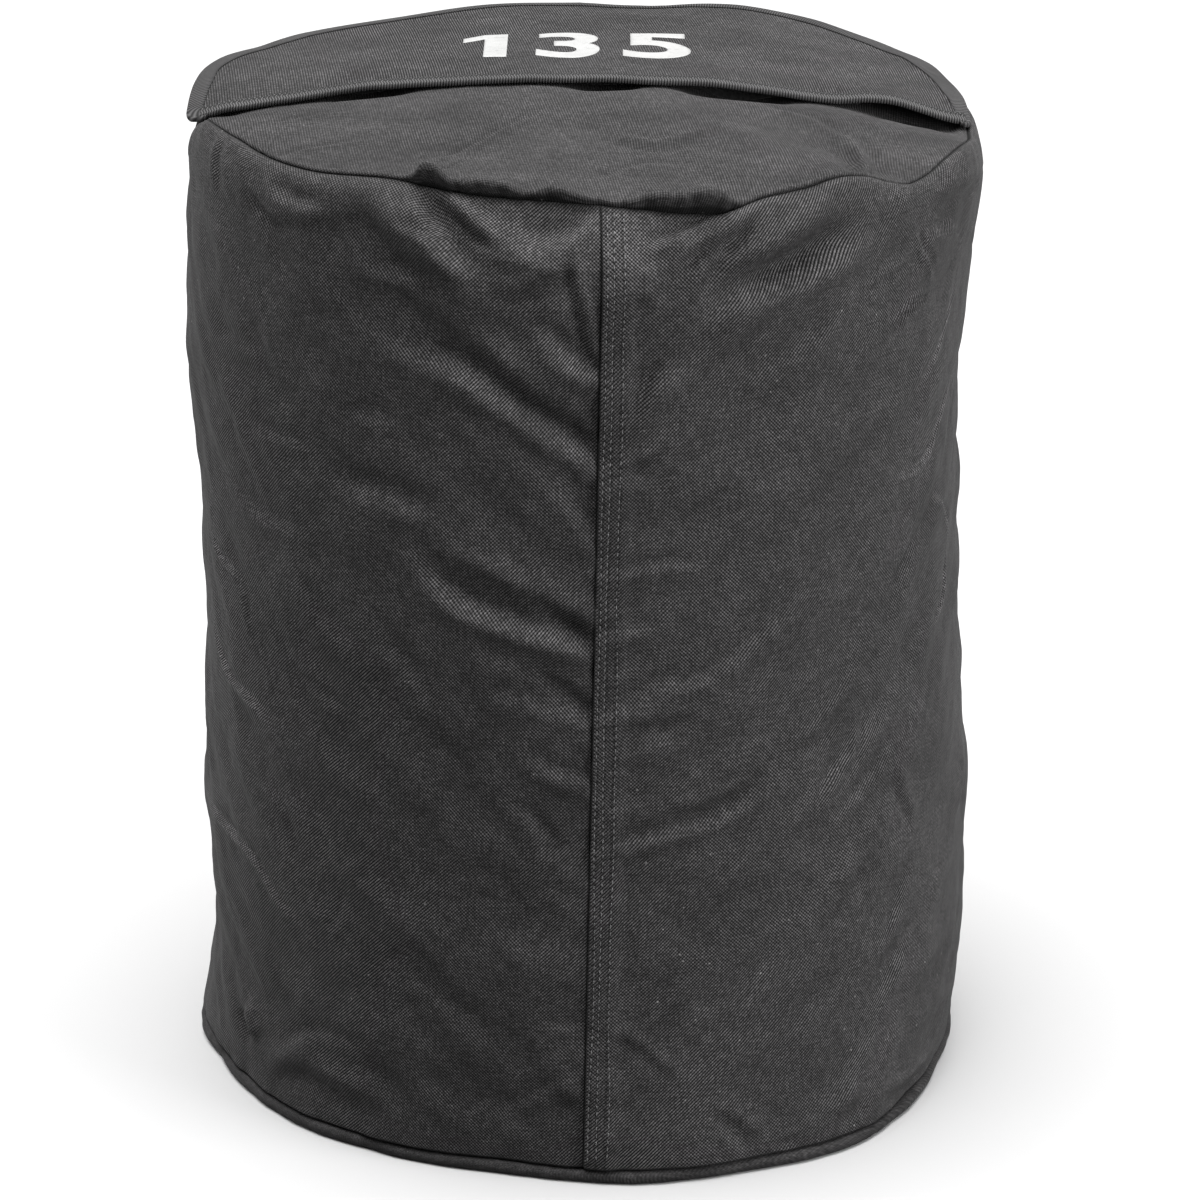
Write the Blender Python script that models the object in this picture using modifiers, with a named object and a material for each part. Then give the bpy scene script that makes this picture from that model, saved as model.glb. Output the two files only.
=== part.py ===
"""A sandbag trainer: a sewn cylinder of heavy cloth, filled with sand in an inner bag.

The bag stands on its base panel, +Z up, with its origin at the middle of the base. The front, where
the wall's two ends are lapped and sewn, faces -Y. A half-round flap covers the filling mouth in the
back half of the top. It is sewn down at the back rim and opens there about a cloth hinge.

Angles run from the front towards +X. Every cloth is a flat grid that is shaped by a profile, which is
a list of (radius, height) pairs for each angle, and is then given its thickness on the inside.
Neighbouring pieces use the same angles and the same profile rows, so their facets lie parallel.
"""

import math

import bmesh
import bpy
from mathutils import Vector

# The filled bag. The top seam lies inside the wall, on a rounded shoulder.
BODY_RADIUS = 0.2245
RIM_HEIGHT = 0.567
CROWN_RISE = 0.0177
BASE_SEAM_HEIGHT = 0.0088
SHOULDER_REACH = 0.0085
SHOULDER_DEPTH = 0.020
SEAM_RADIUS = BODY_RADIUS - SHOULDER_REACH
CROWN_HEIGHT = RIM_HEIGHT + CROWN_RISE

# How far the filled cloth departs from a true cylinder
SLUMP = 0.006
RIM_WANDER = 0.012
SEAM_WANDER = 0.006

# Cloth, tape and seams
CLOTH = 0.0014
LINER_CLOTH = 0.0010
TAPE = 0.0008
GAP = 0.0003
LAYER_GAP = 0.0005
ALLOWANCE = 0.009
FOLD_RADIUS = CLOTH + GAP
SEAM_TAPE_INSET = 0.0035
SEAM_TAPE_LEG = ALLOWANCE - SEAM_TAPE_INSET

# The lapped front seam of the wall
LAP_WIDTH = 0.0155
LAP_HEAD_OFFSET = 0.0125
LAP_FOOT_OFFSET = 0.0013

# The flap and its closing strips. The flap is sewn down behind its hinge line.
FLAP_OVERHANG = 0.0085
FLAP_SHIFT = 0.0018
FLAP_TAPE_LEG = 0.009
SEWN_DEPTH = 0.0195
HINGE_CLEARANCE = 0.0003
STRIP = 0.0008
STRIP_GAP = 0.0004
STRIP_LENGTH = 0.320
STRIP_WIDTH = 0.030
STRIP_INSET = 0.001
CLOSURE_GAP = 0.0005
FLAP_RADIUS = SEAM_RADIUS + FLAP_OVERHANG
FLAP_LIFT = 2.0 * (STRIP + STRIP_GAP) + CLOSURE_GAP
HINGE_DISTANCE = FLAP_RADIUS - SEWN_DEPTH
STRIP_FRONT = FLAP_TAPE_LEG + STRIP_INSET

# The filling mouth in the top, behind the closing strip
MOUTH_RIM_MARGIN = 0.051
MOUTH_STRIP_MARGIN = 0.0035
MOUTH_CORNER = 0.030
MOUTH_TAPE_LEG = 0.0045
MOUTH_TAPE_GAP = 0.0005
MOUTH_RADIUS = SEAM_RADIUS - MOUTH_RIM_MARGIN
MOUTH_FRONT = STRIP_FRONT + STRIP_WIDTH + MOUTH_STRIP_MARGIN + MOUTH_TAPE_LEG
MOUTH_DEPTH = MOUTH_RADIUS - MOUTH_FRONT

# The inner bag
LINER_TOP_DEPTH = 0.0032
LINER_FOOT_CORNER = 0.040
LINER_HEAD_CORNER = 0.052

# Its filling neck, folded flat inside the mouth. The shares are of the mouth's radius, and of its
# depth from front to back.
NECK_CLOTH = 0.0016
NECK_WIDTH_SHARE = 0.91
NECK_FRONT_SHARE = 0.19
NECK_END_SHARE = 0.27
NECK_FOLD_SHARE = 0.68
NECK_TAPE_LENGTH_SHARE = 0.67
NECK_TAPE_FRONT_SHARE = 0.36
NECK_TAPE_WIDTH_SHARE = 0.21
NECK_WIDTH = NECK_WIDTH_SHARE * MOUTH_RADIUS
NECK_FRONT = MOUTH_FRONT + NECK_FRONT_SHARE * MOUTH_DEPTH
NECK_END = MOUTH_FRONT + NECK_END_SHARE * MOUTH_DEPTH
NECK_FOLD = MOUTH_FRONT + NECK_FOLD_SHARE * MOUTH_DEPTH
NECK_TAPE_LENGTH = NECK_TAPE_LENGTH_SHARE * MOUTH_RADIUS
NECK_TAPE_FRONT = MOUTH_FRONT + NECK_TAPE_FRONT_SHARE * MOUTH_DEPTH
NECK_TAPE_WIDTH = NECK_TAPE_WIDTH_SHARE * MOUTH_DEPTH

# Margins for cutters
OVERRUN = 0.020

# Shape shares, each a hand-chosen share of the size that it follows.
# Round the rim from the front towards +X, in steps of 15 degrees for its height and 30 for its radius.
RIM_SHARES = (
    0.5, -0.1, 0.35, 0.5, -0.5, -0.3, -0.75, -0.2,
    0.3, 0.55, 0.9, 0.9, 0.75, 0.8, 0.6, 0.65,
    0.8, 0.7, 0.1, 0.85, 1.0, 0.85, 1.0, 0.75,
)
SEAM_SHARES = (-0.85, -0.5, 0.3, 0.8, 0.4, 0.1, -0.1, 0.0, 0.0, -0.3, -0.35, -0.7)
# Rows run from the floor to the rim, and columns round the wall from the front, 45 degrees apart.
SLUMP_SHARES = (
    (-0.3, 2.0, 0.5, 0.6, 0.3, 0.5, 0.97, -0.4),
    (-0.1, 1.6, 0.8, 0.4, 0.2, 0.0, -0.4, -0.4),
    (0.1, 1.0, 0.95, 0.5, 0.0, -0.2, -0.2, 0.1),
    (0.0, 0.6, 0.3, 0.2, 0.2, 0.1, -0.1, 0.1),
    (0.1, -0.2, -0.5, -0.1, 0.3, 0.2, -0.4, -0.1),
    (0.2, -0.3, -0.85, -0.4, 0.1, 0.0, -0.35, 0.2),
    (0.3, 0.1, -0.8, -0.2, -0.1, 0.2, 0.3, 0.2),
    (0.1, 0.3, 0.0, 0.2, 0.1, 0.3, 0.5, 0.3),
    (0.0, 0.3, 1.5, 0.4, 0.0, -0.2, -0.45, 0.0),
)
CROWN_POWER = 1.9
TOP_RING_SHARES = (0.0, 0.2, 0.4, 0.6, 0.78)
# Where the inner bag's top starts to round down, as a share of the seam's radius.
LINER_HEAD_SHARE = (BODY_RADIUS - CLOTH - LAYER_GAP - LINER_HEAD_CORNER) / SEAM_RADIUS

# Facets
SEGMENTS = 40
WALL_ROWS = 10
FOLD_STEPS = 2
ROLL_STEPS = 6
CORNER_STEPS = 3
MOUTH_FRONT_STEPS = 8
MOUTH_CORNER_STEPS = 4
MOUTH_ARC_STEPS = 16
STRIP_STEPS = 16
NECK_STEPS = 6
HINGE_STEPS = 24
SHARP_ANGLE = math.radians(50.0)
MERGE_DISTANCE_SHARE = 0.00001

FULL_TURN = 2.0 * math.pi
QUARTER_TURN = 0.5 * math.pi

CLOTH_COLOUR = (0.038, 0.037, 0.038)
FLAP_COLOUR = (0.085, 0.082, 0.083)
TAPE_COLOUR = (0.110, 0.107, 0.105)
LINER_COLOUR = (0.045, 0.050, 0.055)
STRIP_COLOUR = (0.012, 0.012, 0.012)
SAND_COLOUR = (0.560, 0.450, 0.310)


def smooth(before, start, end, after, share):
    """A value between start and end on a smooth curve through four even places."""
    slope = end - before
    bend = 2.0 * before - 5.0 * start + 4.0 * end - after
    twist = 3.0 * (start - end) + after - before
    return start + 0.5 * share * (slope + share * (bend + share * twist))


def around(shares, angle):
    """A smooth closed run of evenly spaced shares, read at an angle."""
    count = len(shares)
    place = (angle % FULL_TURN) / FULL_TURN * count
    first = int(place) % count
    near = [shares[(first + step) % count] for step in (-1, 0, 1, 2)]
    return smooth(near[0], near[1], near[2], near[3], place - int(place))


def wall_radius(angle, height):
    """The radius of the wall's outer face, with its slumps and bulges."""
    last = len(SLUMP_SHARES) - 1
    place = min(max(height / RIM_HEIGHT, 0.0), 1.0) * last
    first = min(int(place), last - 1)
    rows = [min(max(first + step, 0), last) for step in (-1, 0, 1, 2)]
    near = [around(SLUMP_SHARES[row], angle) for row in rows]
    return BODY_RADIUS + SLUMP * smooth(near[0], near[1], near[2], near[3], place - first)


def rim_height(angle):
    """The height of the top seam."""
    return RIM_HEIGHT + RIM_WANDER * around(RIM_SHARES, angle)


def seam_radius(angle):
    """The radius of the top seam, which lies inside the wall on a rounded shoulder."""
    return SEAM_RADIUS + SEAM_WANDER * around(SEAM_SHARES, angle)


def crown(angle, share):
    """The height of the top's outer face, at a share of the way from its middle to the seam."""
    rim = rim_height(angle)
    return rim + (CROWN_HEIGHT - rim) * (1.0 - share ** CROWN_POWER)


def polar(angle, radius, height):
    """A point from its angle, radius and height."""
    return Vector((radius * math.sin(angle), -radius * math.cos(angle), height))


def quarter(centre_radius, centre_height, width, depth, start, end, steps):
    """Profile points on an elliptic arc, from a start to an end angle above the outward direction."""
    points = []
    for step in range(steps + 1):
        turn = start + (end - start) * step / steps
        radius = centre_radius + width * math.cos(turn)
        height = centre_height + depth * math.sin(turn)
        points.append((radius, height))
    return points


def wall_row_height(angle, row):
    """The height of a profile row on the straight part of the wall."""
    foot = BASE_SEAM_HEIGHT + GAP + FOLD_RADIUS
    head = rim_height(angle) - SHOULDER_DEPTH
    return foot + (head - foot) * row / WALL_ROWS


def wall_facet_radius(angle, height):
    """The radius of the wall's facets at a height between two profile rows."""
    foot = wall_row_height(angle, 0)
    head = wall_row_height(angle, WALL_ROWS)
    row = min(int((height - foot) / (head - foot) * WALL_ROWS), WALL_ROWS - 1)
    low = wall_row_height(angle, row)
    high = wall_row_height(angle, row + 1)
    share = (height - low) / (high - low)
    return (1.0 - share) * wall_radius(angle, low) + share * wall_radius(angle, high)


def wall_profile(angle):
    """The wall, from its seam allowance inside the base to the one inside the top."""
    foot_height = BASE_SEAM_HEIGHT + GAP
    foot_radius = wall_radius(angle, foot_height)
    points = [(foot_radius - ALLOWANCE, foot_height)]
    points += quarter(foot_radius - FOLD_RADIUS, foot_height + FOLD_RADIUS, FOLD_RADIUS,
                      FOLD_RADIUS, -QUARTER_TURN, 0.0, FOLD_STEPS)
    for row in range(1, WALL_ROWS):
        height = wall_row_height(angle, row)
        points.append((wall_radius(angle, height), height))
    head_height = wall_row_height(angle, WALL_ROWS)
    head_radius = wall_radius(angle, head_height)
    seam = seam_radius(angle) + GAP / 2.0
    crest = seam + FOLD_RADIUS
    points += quarter(crest, head_height, head_radius - crest, SHOULDER_DEPTH,
                      0.0, QUARTER_TURN, CORNER_STEPS)
    points += quarter(crest, rim_height(angle) - FOLD_RADIUS, FOLD_RADIUS, FOLD_RADIUS,
                      QUARTER_TURN, 2.0 * QUARTER_TURN, FOLD_STEPS)[1:]
    points.append((seam, rim_height(angle) - ALLOWANCE))
    return points


def top_profile(angle):
    """The top panel, from its seam allowance to its middle."""
    rim = rim_height(angle)
    seam = seam_radius(angle) - GAP / 2.0
    points = [(seam, rim - ALLOWANCE)]
    points += quarter(seam - FOLD_RADIUS, rim - FOLD_RADIUS, FOLD_RADIUS, FOLD_RADIUS,
                      0.0, QUARTER_TURN, FOLD_STEPS)
    for share in reversed(TOP_RING_SHARES):
        points.append((share * seam_radius(angle), crown(angle, share)))
    return points


def base_profile(angle):
    """The base panel, from its middle, over its soft rolled edge, to its seam allowance."""
    roll = BASE_SEAM_HEIGHT / 2.0
    radius = wall_radius(angle, BASE_SEAM_HEIGHT)
    flat = radius - roll
    points = [(0.0, 0.0), (flat / 2.0, 0.0)]
    points += quarter(flat, roll, roll, roll, -QUARTER_TURN, QUARTER_TURN, ROLL_STEPS)
    points.append((radius - ALLOWANCE, BASE_SEAM_HEIGHT))
    return points


def inner_profile(angle, depth):
    """The inner bag, or the sand at a depth inside it, from the base's middle to the top's middle."""
    skin = CLOTH + LAYER_GAP
    foot_corner = LINER_FOOT_CORNER - depth
    foot_height = skin + LINER_FOOT_CORNER
    foot_centre = wall_facet_radius(angle, foot_height) - skin - LINER_FOOT_CORNER
    points = [(0.0, foot_height - foot_corner), (foot_centre / 2.0, foot_height - foot_corner)]
    points += quarter(foot_centre, foot_height, foot_corner, foot_corner,
                      -QUARTER_TURN, 0.0, CORNER_STEPS)
    for row in range(1, WALL_ROWS):
        height = wall_row_height(angle, row)
        points.append((wall_radius(angle, height) - skin - depth, height))
    head_corner = LINER_HEAD_CORNER - depth
    head_height = crown(angle, LINER_HEAD_SHARE) - LINER_TOP_DEPTH - LINER_HEAD_CORNER
    head_centre = wall_facet_radius(angle, head_height) - skin - LINER_HEAD_CORNER
    points += quarter(head_centre, head_height, head_corner, head_corner,
                      0.0, QUARTER_TURN, CORNER_STEPS)
    for share in reversed(TOP_RING_SHARES[:-1]):
        points.append((share * seam_radius(angle), crown(angle, share) - LINER_TOP_DEPTH - depth))
    return points


def flap_radius(angle):
    """The radius of the flap's round edge, which lies a little to one side of the bag's middle."""
    return FLAP_RADIUS - FLAP_SHIFT * math.sin(angle)


def flap_height(angle, radius):
    """The height of the flap's outer face."""
    return crown(angle, radius / seam_radius(angle)) + FLAP_LIFT + CLOTH


def flap_radii(angle):
    """The radii of the flap's rows, from its round edge to the middle of its front edge."""
    edge = flap_radius(angle)
    radii = [edge, edge - FLAP_TAPE_LEG]
    return radii + [share * seam_radius(angle) for share in reversed(TOP_RING_SHARES)]


def flap_profile(angle):
    """The flap, from its round edge to the middle of its front edge."""
    return [(radius, flap_height(angle, radius)) for radius in flap_radii(angle)]


def facet_height(profile, x, y):
    """The height above a place of the facets that a profile, listed from its edge inwards, makes."""
    angle = math.atan2(x, -y) % FULL_TURN
    radius = math.hypot(x, y)
    facet = FULL_TURN / SEGMENTS
    column = int(angle / facet)
    past = angle - column * facet
    ahead = facet - past
    line = []
    for here, there in zip(profile(column * facet), profile((column + 1) * facet)):
        weight = here[0] * math.sin(past)
        share = weight / max(weight + there[0] * math.sin(ahead), MERGE_DISTANCE_SHARE)
        reach = (1.0 - share) * here[0] * math.cos(past) + share * there[0] * math.cos(ahead)
        line.append((reach, (1.0 - share) * here[1] + share * there[1]))
    for outer, inner in zip(line, line[1:]):
        if radius >= inner[0]:
            return inner[1] + (outer[1] - inner[1]) * (radius - inner[0]) / (outer[0] - inner[0])
    return line[-1][1]


def top_height(x, y):
    """The height of the top panel's outer face above a place."""
    return facet_height(lambda angle: top_profile(angle)[FOLD_STEPS + 1:], x, y)


def flap_place(x, y):
    """The height of the flap's outer face above a place."""
    return facet_height(flap_profile, x, y)


def liner_height(x, y):
    """The height of the inner bag's outer face above a place in the mouth."""
    top_rows = len(TOP_RING_SHARES)
    return facet_height(lambda angle: inner_profile(angle, 0.0)[-top_rows:], x, y)


def grid_mesh(name, rows):
    """A mesh grid whose rows of points lie where they are given. Points that meet are joined."""
    row_steps = len(rows) - 1
    column_steps = len(rows[0]) - 1
    shape = bmesh.new()
    bmesh.ops.create_grid(shape, x_segments=column_steps, y_segments=row_steps, size=1.0)
    for vertex in shape.verts:
        column = round((vertex.co.x + 1.0) / 2.0 * column_steps)
        row = round((vertex.co.y + 1.0) / 2.0 * row_steps)
        vertex.co = rows[row][column]
    bmesh.ops.remove_doubles(shape, verts=shape.verts, dist=MERGE_DISTANCE_SHARE * BODY_RADIUS)
    mesh = bpy.data.meshes.new(name)
    shape.to_mesh(mesh)
    shape.free()
    mesh.shade_smooth()
    mesh.set_sharp_from_angle(angle=SHARP_ANGLE)
    return mesh


def material(name, colour, roughness):
    """A cloth-like material."""
    made = bpy.data.materials.get(name) or bpy.data.materials.new(name)
    made.use_nodes = True
    shader = made.node_tree.nodes["Principled BSDF"]
    shader.inputs["Base Color"].default_value = (*colour, 1.0)
    shader.inputs["Roughness"].default_value = roughness
    shader.inputs["Metallic"].default_value = 0.0
    made.diffuse_color = (*colour, 1.0)
    return made


def piece(name, mesh, finish, collection):
    """A named object with its material."""
    made = bpy.data.objects.new(name, mesh)
    collection.objects.link(made)
    mesh.materials.clear()
    mesh.materials.append(finish)
    return made


def thicken(target, thickness, offset=-1.0):
    """Give an open cloth its thickness."""
    solid = target.modifiers.new("thickness", "SOLIDIFY")
    solid.thickness = thickness
    solid.offset = offset
    solid.use_even_offset = True


def cut(target, cutter, operation="DIFFERENCE"):
    """Cut a piece with a cutter."""
    boolean = target.modifiers.new("cut", "BOOLEAN")
    boolean.object = cutter
    boolean.operation = operation
    boolean.solver = "EXACT"


def as_cutter(target):
    """Keep a cutter out of the picture."""
    target.hide_render = True
    target.display_type = "WIRE"
    return target


def box_cutter(name, low, high, collection):
    """A box between two corners that cuts other pieces."""
    shape = bmesh.new()
    bmesh.ops.create_cube(shape, size=1.0)
    for vertex in shape.verts:
        for axis in range(3):
            vertex.co[axis] = high[axis] if vertex.co[axis] > 0.0 else low[axis]
    mesh = bpy.data.meshes.new(name)
    shape.to_mesh(mesh)
    shape.free()
    made = bpy.data.objects.new(name, mesh)
    collection.objects.link(made)
    return as_cutter(made)


def angles(first=0, last=SEGMENTS):
    """The shared angles from one step to another."""
    return [FULL_TURN * step / SEGMENTS for step in range(first, last + 1)]


def turned_rows(profile, places):
    """The points of a profile taken round the given angles."""
    columns = [[polar(angle, radius, height) for radius, height in profile(angle)] for angle in places]
    return [list(row) for row in zip(*columns)]


def lap_outward(column, row, rows):
    """The direction out of the wall at a profile row, in the plane of its first column."""
    before = rows[max(row - 1, 0)][column]
    after = rows[min(row + 1, len(rows) - 1)][column]
    along = (after - before).normalized()
    return Vector((0.0, -along.z, along.y)).normalized()


def wall_rows():
    """The wall's points. Its +X end lies over the other end, with a lap that leans with the cloth."""
    rows = turned_rows(wall_profile, angles())
    facet = BODY_RADIUS * FULL_TURN / SEGMENTS
    lap_share = LAP_WIDTH / facet
    lift = CLOTH + LAYER_GAP
    first_lapped = FOLD_STEPS + 1
    last_lapped = len(rows) - FOLD_STEPS - CORNER_STEPS - 1
    made = []
    for index, row in enumerate(rows):
        height_share = row[0].z / RIM_HEIGHT
        offset = LAP_FOOT_OFFSET + (LAP_HEAD_OFFSET - LAP_FOOT_OFFSET) * height_share
        edge_share = offset / facet
        lapped = first_lapped <= index <= last_lapped
        lifted = first_lapped - 1 <= index <= last_lapped + 1
        outward = lap_outward(0, index, rows) * (lift if lifted else 0.0)
        end_share = edge_share + (lap_share if lapped else -GAP / facet)
        over_edge = row[0].lerp(row[1], edge_share) + outward
        over_root = row[0].lerp(row[1], edge_share + lap_share) + outward
        under_end = row[0].lerp(row[1], end_share)
        made.append([over_edge, over_root] + row[1:] + [under_end])
    return made


def section_rows(path, section):
    """The points of a closed section taken along a path. Both are closed by repeating their start."""
    columns = []
    for place in path:
        points = section(place)
        columns.append(points + points[:1])
    return [list(row) for row in zip(*columns)]


def u_section(leg, inner_top, inner_low):
    """A tape folded over an edge, as (distance into the cloth, height above its outer face)."""
    return ((leg, inner_top + TAPE), (-GAP - TAPE, inner_top + TAPE),
            (-GAP - TAPE, inner_low - TAPE), (leg, inner_low - TAPE),
            (leg, inner_low), (-GAP, inner_low), (-GAP, inner_top), (leg, inner_top))


def top_seam_tape_section(angle):
    """The tape round the two seam allowances that hang inside the top seam."""
    seam = seam_radius(angle)
    low = rim_height(angle) - ALLOWANCE
    side = GAP / 2.0 + CLOTH
    shape = u_section(SEAM_TAPE_LEG, side + GAP, -side - GAP)
    return [polar(angle, seam + across, low + up) for up, across in shape]


def base_seam_tape_section(angle):
    """The tape round the two seam allowances that lie inside the base seam."""
    inner = wall_radius(angle, BASE_SEAM_HEIGHT) - ALLOWANCE
    middle = BASE_SEAM_HEIGHT + GAP / 2.0
    side = GAP / 2.0 + CLOTH
    shape = u_section(SEAM_TAPE_LEG, side + GAP, -side - GAP)
    return [polar(angle, inner + inward, middle + up) for inward, up in shape]


def mouth_path():
    """The mouth's outline, counter-clockwise, as (place, direction into the cloth)."""
    reach = MOUTH_RADIUS - MOUTH_CORNER
    corner_y = MOUTH_FRONT + MOUTH_CORNER
    corner_x = math.sqrt(reach ** 2 - corner_y ** 2)
    bearing = math.atan2(corner_y, corner_x)
    path = []
    for step in range(1, MOUTH_FRONT_STEPS):
        x = corner_x * (2.0 * step / MOUTH_FRONT_STEPS - 1.0)
        path.append((Vector((x, MOUTH_FRONT)), Vector((0.0, -1.0))))
    runs = (
        (corner_x, corner_y, MOUTH_CORNER, -QUARTER_TURN, bearing, MOUTH_CORNER_STEPS),
        (0.0, 0.0, MOUTH_RADIUS, bearing, math.pi - bearing, MOUTH_ARC_STEPS),
        (-corner_x, corner_y, MOUTH_CORNER, math.pi - bearing, 3.0 * QUARTER_TURN,
         MOUTH_CORNER_STEPS),
    )
    for centre_x, centre_y, radius, start, end, steps in runs:
        for step in range(steps + (1 if radius == MOUTH_CORNER else 0)):
            if radius == MOUTH_RADIUS and step == 0:
                continue
            turn = start + (end - start) * step / steps
            outward = Vector((math.cos(turn), math.sin(turn)))
            path.append((Vector((centre_x, centre_y)) + outward * radius, outward))
    return path


def mouth_tape_section(place):
    """The tape folded over the edge of the mouth."""
    point, outward = place
    points = []
    for inward, up in u_section(MOUTH_TAPE_LEG, MOUTH_TAPE_GAP, -CLOTH - MOUTH_TAPE_GAP):
        spot = point + outward * inward
        points.append(Vector((spot.x, spot.y, top_height(spot.x, spot.y) + up)))
    return points


def flap_arc_section(angle):
    """The tape folded over the flap's round edge."""
    points = []
    edge = flap_radius(angle)
    for inward, up in u_section(FLAP_TAPE_LEG, GAP, -CLOTH - GAP):
        height = flap_height(angle, edge - max(inward, 0.0)) + up
        points.append(polar(angle, edge - inward, height))
    return points


def flap_front_section(x):
    """The tape folded over the flap's straight front edge."""
    points = []
    for inward, up in u_section(FLAP_TAPE_LEG, GAP, -CLOTH - GAP):
        points.append(Vector((x, inward, flap_place(x, max(inward, 0.0)) + up)))
    return points


def closed_path(places, section):
    """The rows of a section taken along a closed path."""
    return section_rows(list(places) + [places[0]], section)


def capped(mesh):
    """Close the open ends of a tube and face it outwards."""
    shape = bmesh.new()
    shape.from_mesh(mesh)
    edges = [edge for edge in shape.edges if edge.is_boundary]
    if edges:
        bmesh.ops.holes_fill(shape, edges=edges)
    bmesh.ops.recalc_face_normals(shape, faces=shape.faces)
    shape.to_mesh(mesh)
    shape.free()
    return mesh


def outline_cutter(name, points, low, high, collection):
    """A flat outline raised into a cutter."""
    curve = bpy.data.curves.new(name, "CURVE")
    curve.dimensions = "2D"
    curve.fill_mode = "BOTH"
    curve.extrude = (high - low) / 2.0
    line = curve.splines.new("POLY")
    line.points.add(len(points) - 1)
    for spot, point in zip(line.points, points):
        spot.co = (point.x, point.y, 0.0, 1.0)
    line.use_cyclic_u = True
    drawn = bpy.data.objects.new(name, curve)
    drawn.location.z = (high + low) / 2.0
    collection.objects.link(drawn)
    bpy.context.view_layer.update()
    evaluated = drawn.evaluated_get(bpy.context.evaluated_depsgraph_get())
    mesh = bpy.data.meshes.new_from_object(evaluated)
    shape = bmesh.new()
    shape.from_mesh(mesh)
    bmesh.ops.remove_doubles(shape, verts=shape.verts, dist=MERGE_DISTANCE_SHARE * BODY_RADIUS)
    bmesh.ops.recalc_face_normals(shape, faces=shape.faces)
    shape.to_mesh(mesh)
    shape.free()
    made = bpy.data.objects.new(name, mesh)
    made.matrix_world = drawn.matrix_world
    bpy.data.objects.remove(drawn)
    collection.objects.link(made)
    return as_cutter(made)


def strip_rows(front, length, width, height, steps):
    """A flat strip across the bag, laid on a surface."""
    rows = []
    for y in (front, front + width / 2.0, front + width):
        row = []
        for step in range(steps + 1):
            x = length * (step / steps) - length / 2.0
            row.append(Vector((x, y, height(x, y))))
        rows.append(row)
    return rows


def neck_rows():
    """The flat neck, from the slot in the inner bag, back over itself and folded forward again."""
    low = LAYER_GAP + NECK_CLOTH / 2.0
    high = low + NECK_CLOTH + LAYER_GAP
    fold = (high - low) / 2.0
    section = [(NECK_FRONT, -LINER_CLOTH + GAP), (NECK_FRONT, low - fold)]
    section += [(NECK_FRONT + fold, low)]
    section += [(y, height) for y, height in
                quarter(NECK_FOLD, low + fold, fold, fold, -QUARTER_TURN, QUARTER_TURN, FOLD_STEPS)]
    section += [(NECK_END, high)]
    rows = []
    for y, height in section:
        row = []
        for step in range(NECK_STEPS + 1):
            x = NECK_WIDTH * (step / NECK_STEPS) - NECK_WIDTH / 2.0
            row.append(Vector((x, y, liner_height(x, y) + height)))
        rows.append(row)
    return rows


def make_shell(parts, cutters):
    """The wall, the base and the top of the outer bag, with the tapes on their seams."""
    body = material("body_cloth", CLOTH_COLOUR, 0.85)
    tape = material("tape", TAPE_COLOUR, 0.80)
    wall = piece("wall_panel", grid_mesh("wall_panel", wall_rows()), body, parts)
    thicken(wall, CLOTH)
    base = piece("base_panel", grid_mesh("base_panel", turned_rows(base_profile, angles())), body, parts)
    thicken(base, CLOTH)
    top = piece("top_panel", grid_mesh("top_panel", turned_rows(top_profile, angles())), body, parts)
    thicken(top, CLOTH)
    outline = [place for place, outward in mouth_path()]
    low = RIM_HEIGHT - OVERRUN
    high = CROWN_HEIGHT + OVERRUN
    cut(top, outline_cutter("mouth_cutter", outline, low, high, cutters))
    tapes = (
        ("top_seam_tape", closed_path(angles(0, SEGMENTS - 1), top_seam_tape_section)),
        ("base_seam_tape", closed_path(angles(0, SEGMENTS - 1), base_seam_tape_section)),
        ("mouth_tape", closed_path(mouth_path(), mouth_tape_section)),
    )
    for name, rows in tapes:
        piece(name, capped(grid_mesh(name, rows)), tape, parts)


def make_inner_bag(parts, cutters):
    """The inner bag, its folded neck, the neck's closing tape and the sand."""
    cloth = material("liner_cloth", LINER_COLOUR, 0.70)
    bag = piece("liner_bag", grid_mesh("liner_bag", turned_rows(
        lambda angle: inner_profile(angle, 0.0), angles())), cloth, parts)
    thicken(bag, LINER_CLOTH)
    half_slot = NECK_CLOTH / 2.0 + GAP
    low = (-NECK_WIDTH / 2.0 - GAP, NECK_FRONT - half_slot, RIM_HEIGHT - OVERRUN)
    high = (NECK_WIDTH / 2.0 + GAP, NECK_FRONT + half_slot, CROWN_HEIGHT + OVERRUN)
    cut(bag, box_cutter("neck_slot_cutter", low, high, cutters))
    neck = piece("liner_neck", grid_mesh("liner_neck", neck_rows()), cloth, parts)
    thicken(neck, NECK_CLOTH, offset=0.0)
    sand_mesh = grid_mesh("sand_fill", turned_rows(
        lambda angle: inner_profile(angle, LINER_CLOTH + LAYER_GAP), angles()))
    piece("sand_fill", sand_mesh, material("sand", SAND_COLOUR, 0.95), parts)
    neck_top = 2.0 * (NECK_CLOTH + LAYER_GAP)
    rows = strip_rows(NECK_TAPE_FRONT, NECK_TAPE_LENGTH, NECK_TAPE_WIDTH,
                      lambda x, y: liner_height(x, y) + neck_top + STRIP_GAP + STRIP, NECK_STEPS)
    closing = piece("neck_closing_tape", grid_mesh("neck_closing_tape", rows),
                    material("hook_and_loop", STRIP_COLOUR, 0.95), parts)
    thicken(closing, STRIP)


def hinge_height():
    """The height of the hinge line, just above the flap all along its fold."""
    reach = math.sqrt(FLAP_RADIUS ** 2 - HINGE_DISTANCE ** 2)
    heights = []
    for step in range(HINGE_STEPS + 1):
        x = reach * (2.0 * step / HINGE_STEPS - 1.0)
        heights.append(flap_place(x, HINGE_DISTANCE))
    return max(heights) + GAP + TAPE + HINGE_CLEARANCE


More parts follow.
